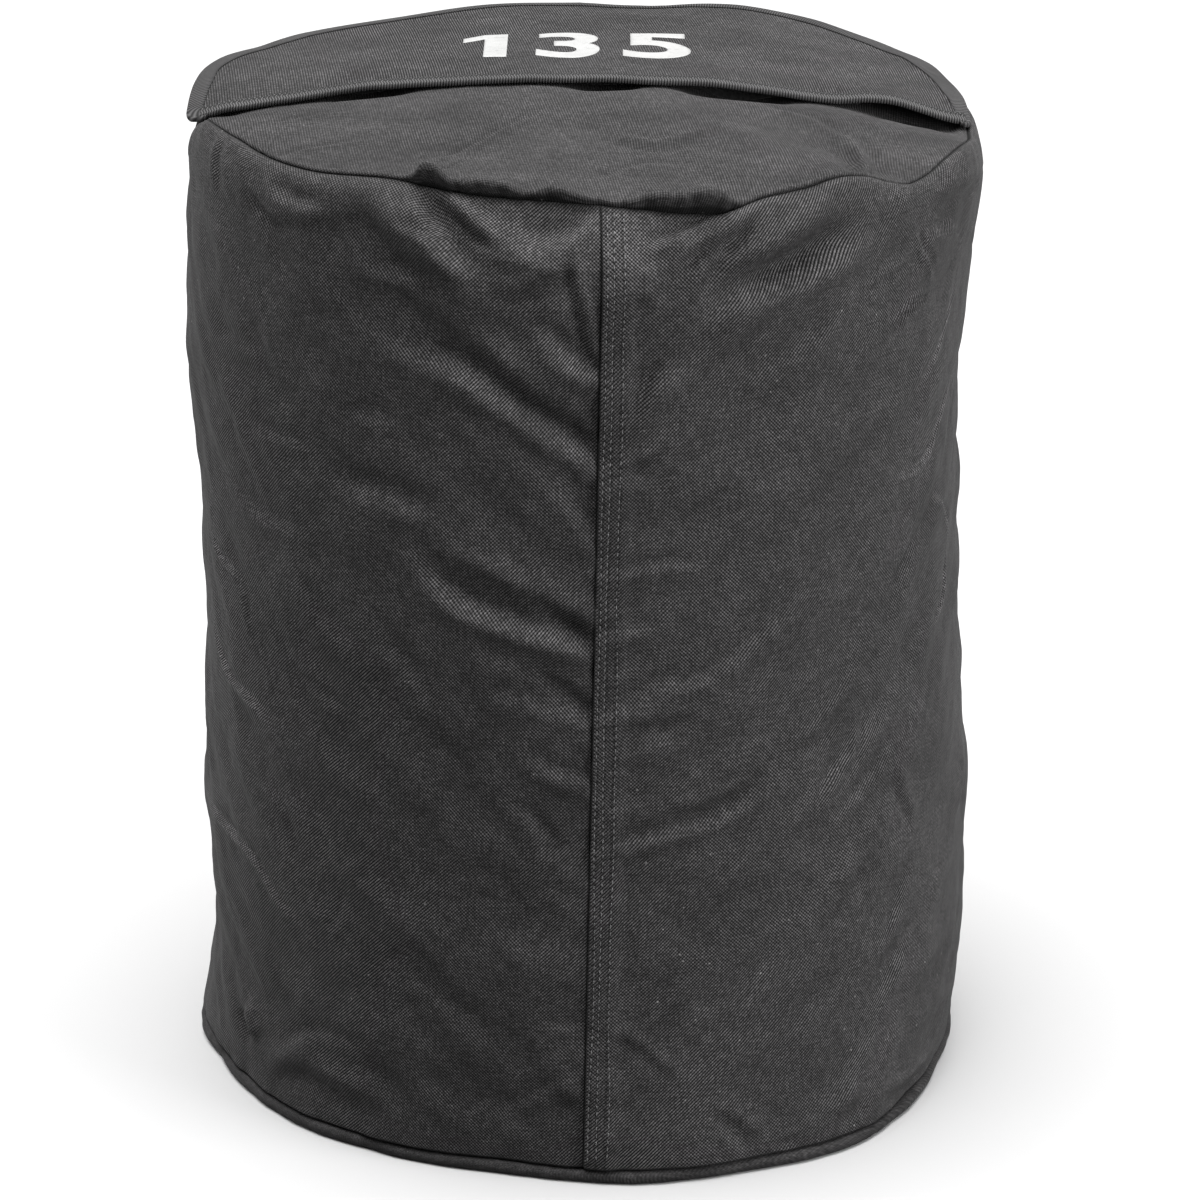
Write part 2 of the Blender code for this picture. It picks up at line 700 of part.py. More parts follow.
def make_flap(parts, cutters):
    """The flap, its tapes and the closing strips, split at the line where the cloth folds."""
    cloth = material("flap_cloth", FLAP_COLOUR, 0.85)
    tape = material("tape", TAPE_COLOUR, 0.80)
    strip = material("hook_and_loop", STRIP_COLOUR, 0.95)
    hinge = bpy.data.objects.new("flap_hinge_axis", None)
    hinge.location = (0.0, HINGE_DISTANCE, hinge_height())
    parts.objects.link(hinge)

    reach = FLAP_RADIUS + OVERRUN
    floor = RIM_HEIGHT - 2.0 * OVERRUN
    roof = CROWN_HEIGHT + OVERRUN
    front_end = HINGE_DISTANCE - GAP / 2.0
    back_end = HINGE_DISTANCE + GAP / 2.0
    behind = box_cutter("behind_hinge_cutter", (-reach, front_end, floor), (reach, reach, roof), cutters)
    before = box_cutter("before_hinge_cutter", (-reach, -reach, floor), (reach, back_end, roof), cutters)
    left = box_cutter("left_half_cutter", (-reach, -reach, floor), (0.0, reach, roof), cutters)
    right = box_cutter("right_half_cutter", (0.0, -reach, floor), (reach, reach, roof), cutters)

    half = angles(SEGMENTS // 4, 3 * SEGMENTS // 4)
    flap_sheet = turned_rows(flap_profile, half)
    for name, cutter in (("flap_panel", behind), ("flap_root", before)):
        made = piece(name, grid_mesh(name, flap_sheet), cloth, parts)
        thicken(made, CLOTH)
        cut(made, cutter)

    arc_rows = section_rows(half, flap_arc_section)
    narrowest_facet = (FLAP_RADIUS - FLAP_SHIFT - FLAP_TAPE_LEG) * math.sin(FULL_TURN / SEGMENTS)
    corner_share = (FLAP_TAPE_LEG + GAP) / narrowest_facet
    for row in arc_rows:
        row[0] = row[0].lerp(row[1], corner_share)
        row[-1] = row[-1].lerp(row[-2], corner_share)
    for name, used in (("flap_arc_tape_right", (behind, left)), ("flap_arc_tape_left", (behind, right)),
                       ("flap_root_tape", (before,))):
        made = piece(name, capped(grid_mesh(name, arc_rows)), tape, parts)
        for cutter in used:
            cut(made, cutter)

    right_radii = flap_radii(half[0])
    left_radii = flap_radii(half[-1])
    path = [-radius for radius in left_radii] + list(reversed(right_radii[:-1]))
    front_rows = section_rows(path, flap_front_section)
    piece("flap_front_tape", capped(grid_mesh("flap_front_tape", front_rows)), tape, parts)

    loop_top = STRIP_GAP + STRIP
    loop_rows = strip_rows(STRIP_FRONT, STRIP_LENGTH, STRIP_WIDTH,
                           lambda x, y: top_height(x, y) + loop_top, STRIP_STEPS)
    thicken(piece("loop_strip", grid_mesh("loop_strip", loop_rows), strip, parts), STRIP)
    hook_rows = strip_rows(STRIP_FRONT, STRIP_LENGTH, STRIP_WIDTH,
                           lambda x, y: flap_place(x, y) - CLOTH - STRIP_GAP, STRIP_STEPS)
    thicken(piece("hook_strip", grid_mesh("hook_strip", hook_rows), strip, parts), STRIP)

    bpy.context.view_layer.update()
    for name in ("flap_panel", "flap_arc_tape_right", "flap_arc_tape_left", "flap_front_tape",
                 "hook_strip"):
        moved = bpy.data.objects[name]
        moved.parent = hinge
        moved.matrix_parent_inverse = hinge.matrix_world.inverted()
    print("hinge line at", tuple(round(value, 5) for value in hinge.location))


def main():
    """Build the sandbag trainer in an empty scene."""
    for old in list(bpy.data.objects):
        bpy.data.objects.remove(old, do_unlink=True)
    parts = bpy.data.collections.new("sandbag_trainer")
    cutters = bpy.data.collections.new("cutters")
    bpy.context.scene.collection.children.link(parts)
    bpy.context.scene.collection.children.link(cutters)
    make_shell(parts, cutters)
    make_inner_bag(parts, cutters)
    make_flap(parts, cutters)


main()
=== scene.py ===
"""The looks of the sandbag trainer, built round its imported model.

The bag stands at the origin, +Z up, and its lapped front seam faces -Y. Angles run from the front
towards +X. Each cloth is a fine grid laid over the shape that the model's own sizes give, with its
folds, puckers and seams added. Its UV map holds lengths in metres, for the weaves and stitch rows.
"""

from contextlib import contextmanager
from functools import reduce
from math import atan2, cos, pi, radians, sin, sqrt

import bmesh
import bpy
import numpy as np
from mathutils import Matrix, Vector


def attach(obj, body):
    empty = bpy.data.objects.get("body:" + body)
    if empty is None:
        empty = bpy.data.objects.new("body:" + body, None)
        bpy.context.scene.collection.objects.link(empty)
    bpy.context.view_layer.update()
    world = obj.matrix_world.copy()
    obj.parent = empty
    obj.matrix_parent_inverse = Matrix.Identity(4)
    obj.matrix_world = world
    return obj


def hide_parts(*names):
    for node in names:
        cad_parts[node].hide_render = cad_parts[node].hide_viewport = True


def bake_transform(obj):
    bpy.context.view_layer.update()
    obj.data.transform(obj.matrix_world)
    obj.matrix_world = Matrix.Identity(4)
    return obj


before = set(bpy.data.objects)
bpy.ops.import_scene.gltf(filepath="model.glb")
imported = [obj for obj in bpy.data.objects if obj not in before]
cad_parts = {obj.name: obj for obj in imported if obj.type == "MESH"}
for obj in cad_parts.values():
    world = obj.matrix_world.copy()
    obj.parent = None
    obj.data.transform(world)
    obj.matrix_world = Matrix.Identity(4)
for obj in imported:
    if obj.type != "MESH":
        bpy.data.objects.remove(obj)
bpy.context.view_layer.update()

# The camera, and the photograph's frame
CAMERA_PLACE = (0.0108, -2.7200, 1.2655)
CAMERA_PITCH = radians(20.08)
PHOTO_SIDE = 1200
FOCAL_PIXELS = 4879.0
SENSOR = 36.0

# Sizes that the model has, in metres
BODY_RADIUS = 0.2245
RIM_HEIGHT = 0.567
CROWN_HEIGHT = 0.5847
SEAM_RADIUS = 0.216
BASE_SEAM_HEIGHT = 0.0088
SHOULDER_DEPTH = 0.020
SLUMP = 0.006
RIM_WANDER = 0.012
SEAM_WANDER = 0.006
CLOTH = 0.0014
TAPE = 0.0008
LAP_HEAD_OFFSET = 0.0125
LAP_FOOT_OFFSET = 0.0013
LAP_WIDTH = 0.0155
MOUTH_RADIUS = 0.165
MOUTH_FRONT = 0.048
MOUTH_CORNER = 0.030
FLAP_RADIUS = 0.2245
FLAP_SHIFT = 0.0018
FLAP_LIFT = 0.0029
FLAP_TAPE = 0.0090
FLAP_CORNERS = (0.0110, 0.0050)
STRIP_LENGTH = 0.320
STRIP_WIDTH = 0.030
STRIP_FRONT = 0.010
LINER_INSET = 0.0135
SAND_INSET = 0.0165
LINER_FOOT = 0.0022
SAND_DROP = 0.0022
ALLOWANCE = 0.009
NECK_WIDTH = 0.150
NECK_FRONT = 0.070
NECK_FOLD = 0.128
NECK_END = 0.080
CROWN_POWER = 1.9

# How far the model's rim, seam and wall stray, as shares, at even places all round
RIM_SHARES = (0.5, -0.1, 0.35, 0.5, -0.5, -0.3, -0.75, -0.2, 0.3, 0.55, 0.9, 0.9,
              0.75, 0.8, 0.6, 0.65, 0.8, 0.7, 0.1, 0.85, 1.0, 0.85, 1.0, 0.75)
SEAM_SHARES = (-0.85, -0.5, 0.3, 0.8, 0.4, 0.1, -0.1, 0.0, 0.0, -0.3, -0.35, -0.7)
SLUMP_SHARES = (
    (-0.3, 2.0, 0.5, 0.6, 0.3, 0.5, 0.97, -0.4), (-0.1, 1.6, 0.8, 0.4, 0.2, 0.0, -0.4, -0.4),
    (0.1, 1.0, 0.95, 0.5, 0.0, -0.2, -0.2, 0.1), (0.0, 0.6, 0.3, 0.2, 0.2, 0.1, -0.1, 0.1),
    (0.1, -0.2, -0.5, -0.1, 0.3, 0.2, -0.4, -0.1), (0.2, -0.3, -0.85, -0.4, 0.1, 0.0, -0.35, 0.2),
    (0.3, 0.1, -0.8, -0.2, -0.1, 0.2, 0.3, 0.2), (0.1, 0.3, 0.0, 0.2, 0.1, 0.3, 0.5, 0.3),
    (0.0, 0.3, 1.5, 0.4, 0.0, -0.2, -0.45, 0.0))

# Pitches of the weaves and stitches, and the stitch rows' distances from the lap's edge
WEAVE_REPEAT = 0.00208
RIB_PITCH = 0.00150
STITCH_PITCH = 0.0044
LAP_ROWS = (0.0026, 0.0065, 0.0114)

TURN = 2.0 * pi
GIRTH = TURN * BODY_RADIUS
MM = 0.001

# How much the folds' steepness is raised, and the size of the photograph's pixels on the wall and top
FOLD_GAIN = 2.3
TOP_GAIN = 4.0
WALL_PIXEL = MM / 1.82
TOP_PIXEL = MM / 1.75

# A fold that ends between these pixels across runs up to the lap, and is carried on under it so far
LAP_PIXELS = (568, 636)
CARRY = 0.020

# The folds that the photograph doesn't show: how many, and how far round from the front they start. Then
# the long wrinkles: how steeply they slope in radians, their lengths both ways, size and seed.
BACK_FOLDS = 64
BACK_START = 0.375
SLANTS = ((0.62, 0.070, 0.015, 0.0013, 21), (0.95, 0.050, 0.010, 0.0007, 22),
          (0.15, 0.060, 0.019, 0.0009, 23))

# The wall's grid: its rows, and the step of its finer columns, which end so far round from the front
WALL_ROWS = 236
WALL_STEP = 0.0022
WALL_FRONT = 0.372

# The radius of the wall's rolled edges, how far its crest stands off the top seam, how deep the cloths
# go down in that seam, how far inside its tape a cloth ends, and two small clearances
BEAD = 0.0017
CREST_REACH = 0.0019
SEAM_DEPTH = 0.0065
IN_TAPE = 0.0006
HAIR = 0.00005
TOUCH = 0.00002

# The lap: its folded edge's columns, as metres from the edge and off the wall; the columns of the cloth
# that lies under it; and how far the upper cloth stands off
LAP_FOLD = ((0.0036, 0.00025), (0.0012, 0.00030), (0.0003, 0.00060), (0.0, 0.00110), (0.0003, 0.00165),
            (0.0012, 0.00190))
LAP_UNDER = (0.0, 0.0022, 0.0060, 0.0100, 0.0125)
LAP_RISE = 0.0019

# The cells that noise repeats after, and the four places that a smooth curve goes by
RIPPLE_ROWS = 64
FOUR = (-1, 0, 1, 2)

# How far the top's front edge rolls over its seam: degrees from the front, and millimetres
LIP = (
    (-180, 0), (-88, 0), (-70, 1.8), (-50, 2.4), (-30, 2.6), (-26.8, 2.6), (-24.4, 6), (-23.2, 11.6),
    (-22.1, 14.6), (-20.6, 13.4), (-19.3, 8.8), (-17.5, 7.6), (-16, 9.8), (-14.5, 10.4), (-12.3, 9.4),
    (-10.1, 9.8), (-8.7, 6.4), (-7.2, 5.2), (-5.8, 7.4), (-3.6, 9.2), (-1.4, 8), (0, 5.6), (2.9, 4.4),
    (5, 3.9), (7.2, 5.6), (9.4, 9.2), (11.6, 11.6), (13.8, 12.2), (16, 13.4), (18.2, 14), (20.5, 13.4),
    (22, 8.6), (23.6, 3.4), (25, 2.8), (30, 3.2), (37, 3), (44, 1.6), (60, 1), (88, 0), (180, 0))

# Finer turns of the top seam's height than the model's: degrees from the front, and millimetres
SEAM_TURNS = (
    (-180, 0), (-131, -0.6), (-122, -2.5), (-112, 0), (-102, 1.2), (-97, 0.5), (-90, -6), (-84, -2.5),
    (-76, 0.8), (-69, 1.2), (-60, 0.9), (-54, -1.3), (-39, -1.1), (-27, 1.5), (-22, 0), (-15, -0.3), (0, 0),
    (9.5, 1.4), (13, 0.9), (17.6, -1), (21.2, -4), (23.5, -1.9), (27.5, 0), (36, -0.2), (39.6, 1.6),
    (45, -0.4), (49, -3.4), (54.7, -5), (59.4, -1), (66, 2.8), (70, 2), (79, 0), (88, -1.5), (97, 4),
    (106, 1.8), (112, 2.9), (118, 1.2), (122, 0), (132, 0.6), (140, 1.6), (148, 0.8), (155, 1.1),
    (161, 0.1), (168, -2.3), (174, -1.7), (180, 0))

# How much further the foot of the bag reaches than the model's: degrees from the front, and
# millimetres. It fades out up to a height in metres.
FOOT_FADE = 0.085
FOOT_TURNS = (
    (-180, 0), (-115, 0), (-100, 2.6), (-90, 3), (-82, 0.4), (-75, -2.2), (-63, -1), (-56, 0.4), (-48, 3.1),
    (-38, 0.2), (-28, 1), (-24, 0.8), (-18, -2.4), (-12, -3.6), (-6, -1), (0, 2.5), (5.5, 6), (17, 6),
    (23, 2.6), (29, 2.4), (35, 3), (42, 2.8), (47, 1.5), (53, -3), (60, -5.5), (68, -8), (78, -6),
    (90, -2.5), (105, 0), (180, 0))

# Bulges of the sides: degrees from the front, height, half width in degrees, half height, and
# millimetres
BULGES = (
    (-92, 0.161, 14, 0.017, 3.6), (-88, 0.415, 16, 0.04, 1.4), (92, 0.3, 14, 0.06, 1.2),
    (88, 0.06, 16, 0.03, -0.6), (-7, 0.524, 11, 0.015, 4.6), (9, 0.53, 7, 0.014, 3.2),
    (24, 0.505, 10, 0.015, 2.8), (34, 0.47, 9, 0.018, 2.2), (-27, 0.54, 9, 0.013, 2.6),
    (-66, 0.52, 10, 0.02, 1.6))

# Wrinkles that cross the rolled front edge: degrees from the front, half width in metres, and depth
PLEATS = (
    (-61, 0.003, 0.0008), (-54, 0.004, 0.0016), (-46, 0.0035, 0.0008), (-38, 0.005, 0.001),
    (-31, 0.003, 0.0007), (-25.4, 0.0028, 0.0012), (-21.6, 0.0034, 0.004), (-17.6, 0.0026, 0.0014),
    (-14.8, 0.002, 0.0007), (-11.6, 0.003, 0.0014), (-7.4, 0.0024, 0.001), (-4.4, 0.0034, 0.0015),
    (-0.6, 0.0022, 0.0008), (2.8, 0.003, 0.0014), (6.2, 0.0024, 0.0009), (9.4, 0.0036, 0.0017),
    (13.6, 0.0024, 0.001), (16.2, 0.003, 0.0018), (19.8, 0.0022, 0.001), (22.4, 0.0028, 0.002),
    (26.8, 0.0036, 0.001), (32, 0.003, 0.0007), (37.4, 0.004, 0.0013), (43, 0.003, 0.0008),
    (48.6, 0.004, 0.0014), (56, 0.0034, 0.0008), (63, 0.003, 0.0007))

# Degrees from the front, and how many rows of the rolled edge's foot get painted shade from the crevice there
LIP_SHADOW = (
    (-180, 3.6), (-40, 3.8), (-24, 4.6), (-21, 5.6), (-17, 5), (-10, 5.4), (-8, 8.2), (-4.5, 8.6), (-2, 6),
    (4, 5.2), (9, 5.6), (14, 6.2), (19, 6.6), (22, 5.4), (27, 3.8), (180, 3.6))

# How far the flap's front edge gapes: metres from the middle, and millimetres
GAPE = (
    (-0.23, -1.4), (-0.214, -1), (-0.205, 0.6), (-0.196, -0.8), (-0.165, -1.2), (-0.145, -1), (-0.122, 0.3),
    (-0.108, -0.4), (-0.07, -0.9), (-0.015, -0.6), (0.018, 0.4), (0.042, -0.3), (0.058, -0.4), (0.082, 0.2),
    (0.105, 0), (0.13, -1), (0.148, -0.4), (0.164, 3), (0.18, 4.4), (0.198, 2.6), (0.212, 0.4),
    (0.222, -1.2), (0.235, -1.4))

# Folds of the wall, as the photograph shows them from the front: how steeply a fold faces up (or,
# below zero, down), its half width in the photograph's pixels, and its path there from left to
# right, as pairs of pixels
WALL_FOLDS = (
    (0.62, 10, 402, 182, 428, 222, 456, 258, 484, 276), (-0.6, 7, 414, 188, 444, 212, 476, 236, 500, 250),
    (0.3, 7, 212, 128, 214, 160, 220, 196), (-0.4, 6, 244, 180, 270, 214, 296, 226),
    (0.34, 8, 262, 176, 286, 200, 330, 210), (0.32, 15, 492, 222, 528, 242, 564, 244, 592, 226),
    (-0.36, 14, 356, 198, 392, 236, 428, 264, 460, 290), (-0.26, 8, 432, 200, 468, 224, 500, 252),
    (-0.3, 9, 476, 284, 520, 292, 552, 276, 576, 252), (-0.55, 6, 562, 236, 570, 266, 580, 306, 592, 352),
    (0.36, 10, 536, 316, 552, 344, 576, 368, 594, 372), (0.22, 8, 352, 244, 372, 268, 404, 276, 432, 284),
    (-0.17, 13, 380, 288, 428, 312, 468, 340, 508, 376, 548, 408, 592, 436),
    (0.34, 12, 372, 332, 420, 356, 468, 376, 500, 400, 540, 428, 588, 456),
    (0.16, 8, 216, 328, 240, 344, 268, 356), (0.16, 7, 248, 424, 280, 438, 320, 448),
    (0.13, 8, 340, 420, 372, 418, 404, 432), (0.24, 13, 332, 472, 360, 488, 400, 504, 440, 516),
    (0.2, 8, 224, 472, 252, 508, 280, 524, 312, 532), (0.14, 8, 452, 408, 484, 436),
    (0.22, 10, 536, 472, 564, 500, 584, 524), (-0.24, 10, 436, 544, 484, 576, 532, 596, 584, 624),
    (0.44, 11, 408, 544, 436, 584, 468, 608, 520, 628, 586, 646), (-0.22, 8, 520, 656, 556, 680, 588, 700),
    (0.19, 9, 476, 700, 520, 700, 560, 712, 584, 716), (-0.16, 6, 560, 736, 584, 752),
    (0.17, 9, 516, 744, 540, 768, 564, 776, 584, 780), (0.14, 6, 500, 800, 528, 820, 548, 848),
    (-0.14, 5, 552, 816, 560, 848), (0.24, 4, 240, 584, 252, 636), (0.16, 6, 260, 776, 284, 812, 296, 864),
    (0.2, 4, 224, 896, 240, 932), (-0.4, 11, 240, 1004, 252, 1044),
    (-0.2, 12, 260, 1076, 300, 1068, 348, 1096, 400, 1112), (0.16, 8, 272, 1056, 312, 1036, 380, 1056),
    (0.16, 5, 528, 1024, 572, 1028), (0.14, 6, 460, 1140, 520, 1104, 572, 1076),
    (-0.1, 8, 524, 1124, 576, 1096), (0.14, 5, 332, 940, 344, 908, 352, 876),
    (-0.26, 12, 652, 306, 662, 262), (-0.42, 8, 692, 300, 716, 260, 740, 232, 760, 212),
    (0.36, 4, 700, 300, 728, 264, 752, 236, 772, 208), (0.62, 6, 636, 254, 668, 240, 704, 226, 738, 209),
    (-0.66, 8, 664, 270, 700, 250, 728, 235, 752, 222), (-0.36, 14, 728, 288, 768, 260, 808, 236, 848, 210),
    (0.36, 13, 708, 322, 752, 290, 800, 273, 840, 250, 872, 226), (0.32, 12, 628, 424, 656, 380, 680, 352),
    (-0.38, 5, 624, 468, 648, 456, 676, 440), (-0.16, 8, 720, 360, 748, 328, 776, 312),
    (0.13, 8, 628, 482, 660, 480), (0.12, 10, 732, 392, 784, 360, 840, 312),
    (-0.7, 4, 884, 336, 908, 304, 932, 288), (-0.26, 4, 856, 296, 876, 280, 908, 260),
    (0.5, 5, 912, 224, 920, 252, 932, 280), (-0.26, 8, 908, 216, 944, 192, 972, 172),
    (0.3, 7, 920, 236, 956, 216), (-0.2, 5, 900, 544, 924, 500), (0.22, 6, 624, 572, 664, 566, 720, 564),
    (0.24, 7, 620, 632, 652, 624, 680, 588),
    (0.2, 8, 620, 708, 660, 688, 708, 680, 732, 660, 776, 624, 804, 596),
    (-0.2, 7, 624, 724, 664, 720, 708, 712), (0.22, 10, 620, 752, 652, 742, 692, 734),
    (-0.26, 6, 656, 812, 708, 804, 760, 780), (-0.2, 4, 712, 784, 740, 768),
    (0.3, 8, 624, 844, 672, 832, 720, 816, 752, 796, 784, 768),
    (0.16, 6, 776, 744, 816, 720, 848, 680, 868, 652), (-0.16, 5, 784, 756, 840, 720),
    (-0.2, 5, 888, 596, 908, 560, 924, 524), (-0.2, 5, 808, 832, 832, 792, 856, 748, 864, 688),
    (0.2, 5, 816, 800, 840, 756), (0.2, 6, 300, 680, 324, 700, 352, 716),
    (-0.2, 6, 296, 560, 318, 596, 330, 640), (0.16, 8, 808, 848, 848, 800, 880, 760, 900, 708),
    (-0.2, 7, 888, 760, 896, 792, 908, 824), (-0.18, 10, 840, 890, 852, 860), (-0.2, 8, 868, 936, 890, 888),
    (0.12, 8, 700, 900, 732, 860, 768, 808), (-0.2, 6, 612, 1036, 640, 1048, 676, 1084),
    (-0.15, 4, 712, 972, 720, 940, 736, 916), (-0.22, 10, 816, 1116, 852, 1080),
    (-0.32, 8, 864, 1092, 900, 1076, 932, 1048), (-0.22, 9, 712, 1100, 752, 1136),
    (0.22, 6, 764, 1146, 790, 1136), (0.2, 8, 932, 996, 948, 964))

# Sharp creases whose worn tops are pale, in the same form
WALL_CREASES = (
    (0.45, 3, 210, 528, 220, 556, 238, 576), (0.35, 5, 210, 608, 224, 668, 248, 696, 268, 720, 276, 744),
    (0.45, 4, 204, 776, 220, 816, 252, 856, 280, 900, 320, 936), (0.24, 3, 916, 400, 944, 336, 960, 252),
    (0.32, 3, 896, 480, 932, 456, 952, 392, 960, 376), (0.32, 3, 936, 492, 952, 512, 956, 548),
    (0.36, 3, 932, 632, 948, 592, 952, 544))

# Creases of the top, in the same form, where a fold above zero faces the front
TOP_CREASES = (
    (0.14, 4, 250, 160, 295, 143, 330, 137, 385, 131), (0.1, 4, 262, 121, 320, 110, 360, 108),
    (0.16, 4, 400, 163, 456, 149, 500, 128, 560, 104), (-0.14, 6, 600, 128, 660, 136, 720, 122),
    (0.12, 5, 590, 172, 640, 152, 690, 150), (0.22, 5, 850, 110, 868, 128, 876, 148, 900, 168),
    (-0.2, 6, 838, 112, 856, 134, 864, 152, 884, 172), (0.12, 5, 760, 96, 812, 104, 850, 118))

# Hollows of the top under the flap's front edge: pixel, half sizes across and along in metres,
# and depth
TOP_DENTS = (
    (737, 84, 0.024, 0.0115, 0.0128), (606, 84, 0.018, 0.009, 0.0066), (368, 84, 0.02, 0.009, 0.005),
    (912, 84, 0.022, 0.01, 0.0075), (470, 150, 0.03, 0.014, 0.001))

# The plain number on the flap: its figures, middle, size across and along, and how far it stands off,
# in metres. Blender draws a 1 as a bare bar, so the corners of one with a flag take its place, in the
# size of Blender's figures.
MARK_FIGURES = "135"
MARK_MIDDLE = (-0.003, 0.085)
MARK_SIZE = (0.134, 0.068)
MARK_LIFT = 0.00022
FIGURE_ONE = (
    (0.276, -0.026), (0.426, -0.026), (0.426, 0.57), (0.276, 0.57), (0.426, 0.708), (0.276, 0.708),
    (0.136, 0.48), (0.136, 0.61))
FIGURE_ONE_WIDTH = 0.35


def photo_ray(pixel):
    """The direction in which the camera sees a pixel of the photograph."""
    across, up = (pixel[0] - PHOTO_SIDE / 2) / FOCAL_PIXELS, (PHOTO_SIDE / 2 - pixel[1]) / FOCAL_PIXELS
    cosine, sine = cos(CAMERA_PITCH), sin(CAMERA_PITCH)
    return across, cosine + up * sine, -sine + up * cosine


def wall_spot(pixel):
    """Where a pixel falls on the wall, as (metres round from the front, height)."""
    x, y, z = photo_ray(pixel)
    here_x, here_y, here_z = CAMERA_PLACE
    square = x * x + y * y
    half = here_x * x + here_y * y
    left = here_x * here_x + here_y * here_y - BODY_RADIUS ** 2
    far = (-half - sqrt(max(half * half - square * left, 0.0))) / square
    return atan2(here_x + far * x, -(here_y + far * y)) * BODY_RADIUS, here_z + far * z


def top_spot(pixel):
    """Where a pixel falls on a level plane at the crown, as (x, y)."""
    x, y, z = photo_ray(pixel)
    far = (CROWN_HEIGHT - CAMERA_PLACE[2]) / z
    return CAMERA_PLACE[0] + far * x, CAMERA_PLACE[1] + far * y


def pixels(path):
    """Pixels from a run of numbers."""
    return list(zip(path[::2], path[1::2]))


def step_up(value, start, end):
    """A smooth step from 0 at start to 1 at end."""
    share = np.clip((value - start) / (end - start), 0.0, 1.0)
    return share * share * (3.0 - 2.0 * share)


def hump(value, middle, width):
    """A smooth hump of height 1 about a middle."""
    return np.exp(-((value - middle) / width) ** 2)


def smooth(before, start, end, after, share):
    """A value between start and end on a smooth curve through four even places."""
    bend = 2.0 * before - 5.0 * start + 4.0 * end - after
    twist = 3.0 * (start - end) + after - before
    return start + 0.5 * share * (end - before + share * (bend + share * twist))


def around(shares, angle):
    """A smooth closed run of evenly spaced shares, read at angles."""
    shares = np.asarray(shares)
    place = np.mod(angle, TURN) / TURN * len(shares)
    first = np.floor(place).astype(int)
    return smooth(*(shares[(first + step) % len(shares)] for step in FOUR), place - first)


def signed(angle):
    """Angles between minus and plus half a turn."""
    return np.mod(angle + pi, TURN) - pi


def degrees(angle):
    """Degrees from the front."""
    return np.degrees(signed(angle))


def eased(rows, place, blur):
    """Metres read from rows of places and millimetres, with its corners eased."""
    places, sizes = zip(*rows)
    return MM * sum(np.interp(place + step * blur, places, sizes) for step in (-1, 0, 1)) / 3.0


def ripple(across, along, cell_across, cell_along, seed, columns=64):
    """Smooth noise from -1 to 1 over two lengths, repeating after so many cells."""
    values = np.random.RandomState(seed).uniform(-1.0, 1.0, (RIPPLE_ROWS, columns))
    u, v = np.asarray(across) / cell_across, np.asarray(along) / cell_along
    u0, v0 = np.floor(u).astype(int), np.floor(v).astype(int)
    du, dv = step_up(u - u0, 0.0, 1.0), step_up(v - v0, 0.0, 1.0)
    low, high = (values[row % RIPPLE_ROWS, u0 % columns] * (1 - du)
                 + values[row % RIPPLE_ROWS, (u0 + 1) % columns] * du for row in (v0, v0 + 1))
    return low * (1 - dv) + high * dv


def wall_radius(angle, height):
    """The radius of the wall, with its slumps and bulges but without its folds."""
    last = len(SLUMP_SHARES) - 1
    place = np.clip(height / RIM_HEIGHT, 0.0, 1.0) * last + 0.0 * angle
    first = np.minimum(np.floor(place).astype(int), last - 1)
    levels = np.array([around(row, angle) for row in SLUMP_SHARES])
    near = (np.take_along_axis(levels, np.clip(first + step, 0, last)[None], 0)[0] for step in FOUR)
    radius = BODY_RADIUS + SLUMP * smooth(*near, place - first)
    radius = radius + eased(FOOT_TURNS, degrees(angle), 2.5) * (1.0 - step_up(height, 0.0, FOOT_FADE))
    for middle, level, wide, high, size in BULGES:
        radius = radius + MM * size * hump(degrees(angle), middle, wide) * hump(height, level, high)
    return radius


def rim_height(angle):
    """The height of the model's top seam."""
    return RIM_HEIGHT + RIM_WANDER * around(RIM_SHARES, angle)


def seam_turn(angle):
    """The finer turns of the top seam's height."""
    return eased(SEAM_TURNS, degrees(angle), 1.4)


def seam_radius(angle):
    """The radius of the top seam."""
    return SEAM_RADIUS + SEAM_WANDER * around(SEAM_SHARES, angle)


def lip_height(angle, blur=0.7):
    """How far the top rolls over its seam."""
    return eased(LIP, degrees(angle), blur)


def pleats(angle):
    """How deep the wrinkles of the rolled front edge are, from 0."""
    return sum(size * hump(signed(angle - radians(middle)) * SEAM_RADIUS, 0.0, width)
               for middle, width, size in PLEATS)


def travelled(points):
    """How far along a path each of its points is."""
    return np.concatenate([[0.0], np.cumsum(np.linalg.norm(np.diff(points, axis=0), axis=1))])


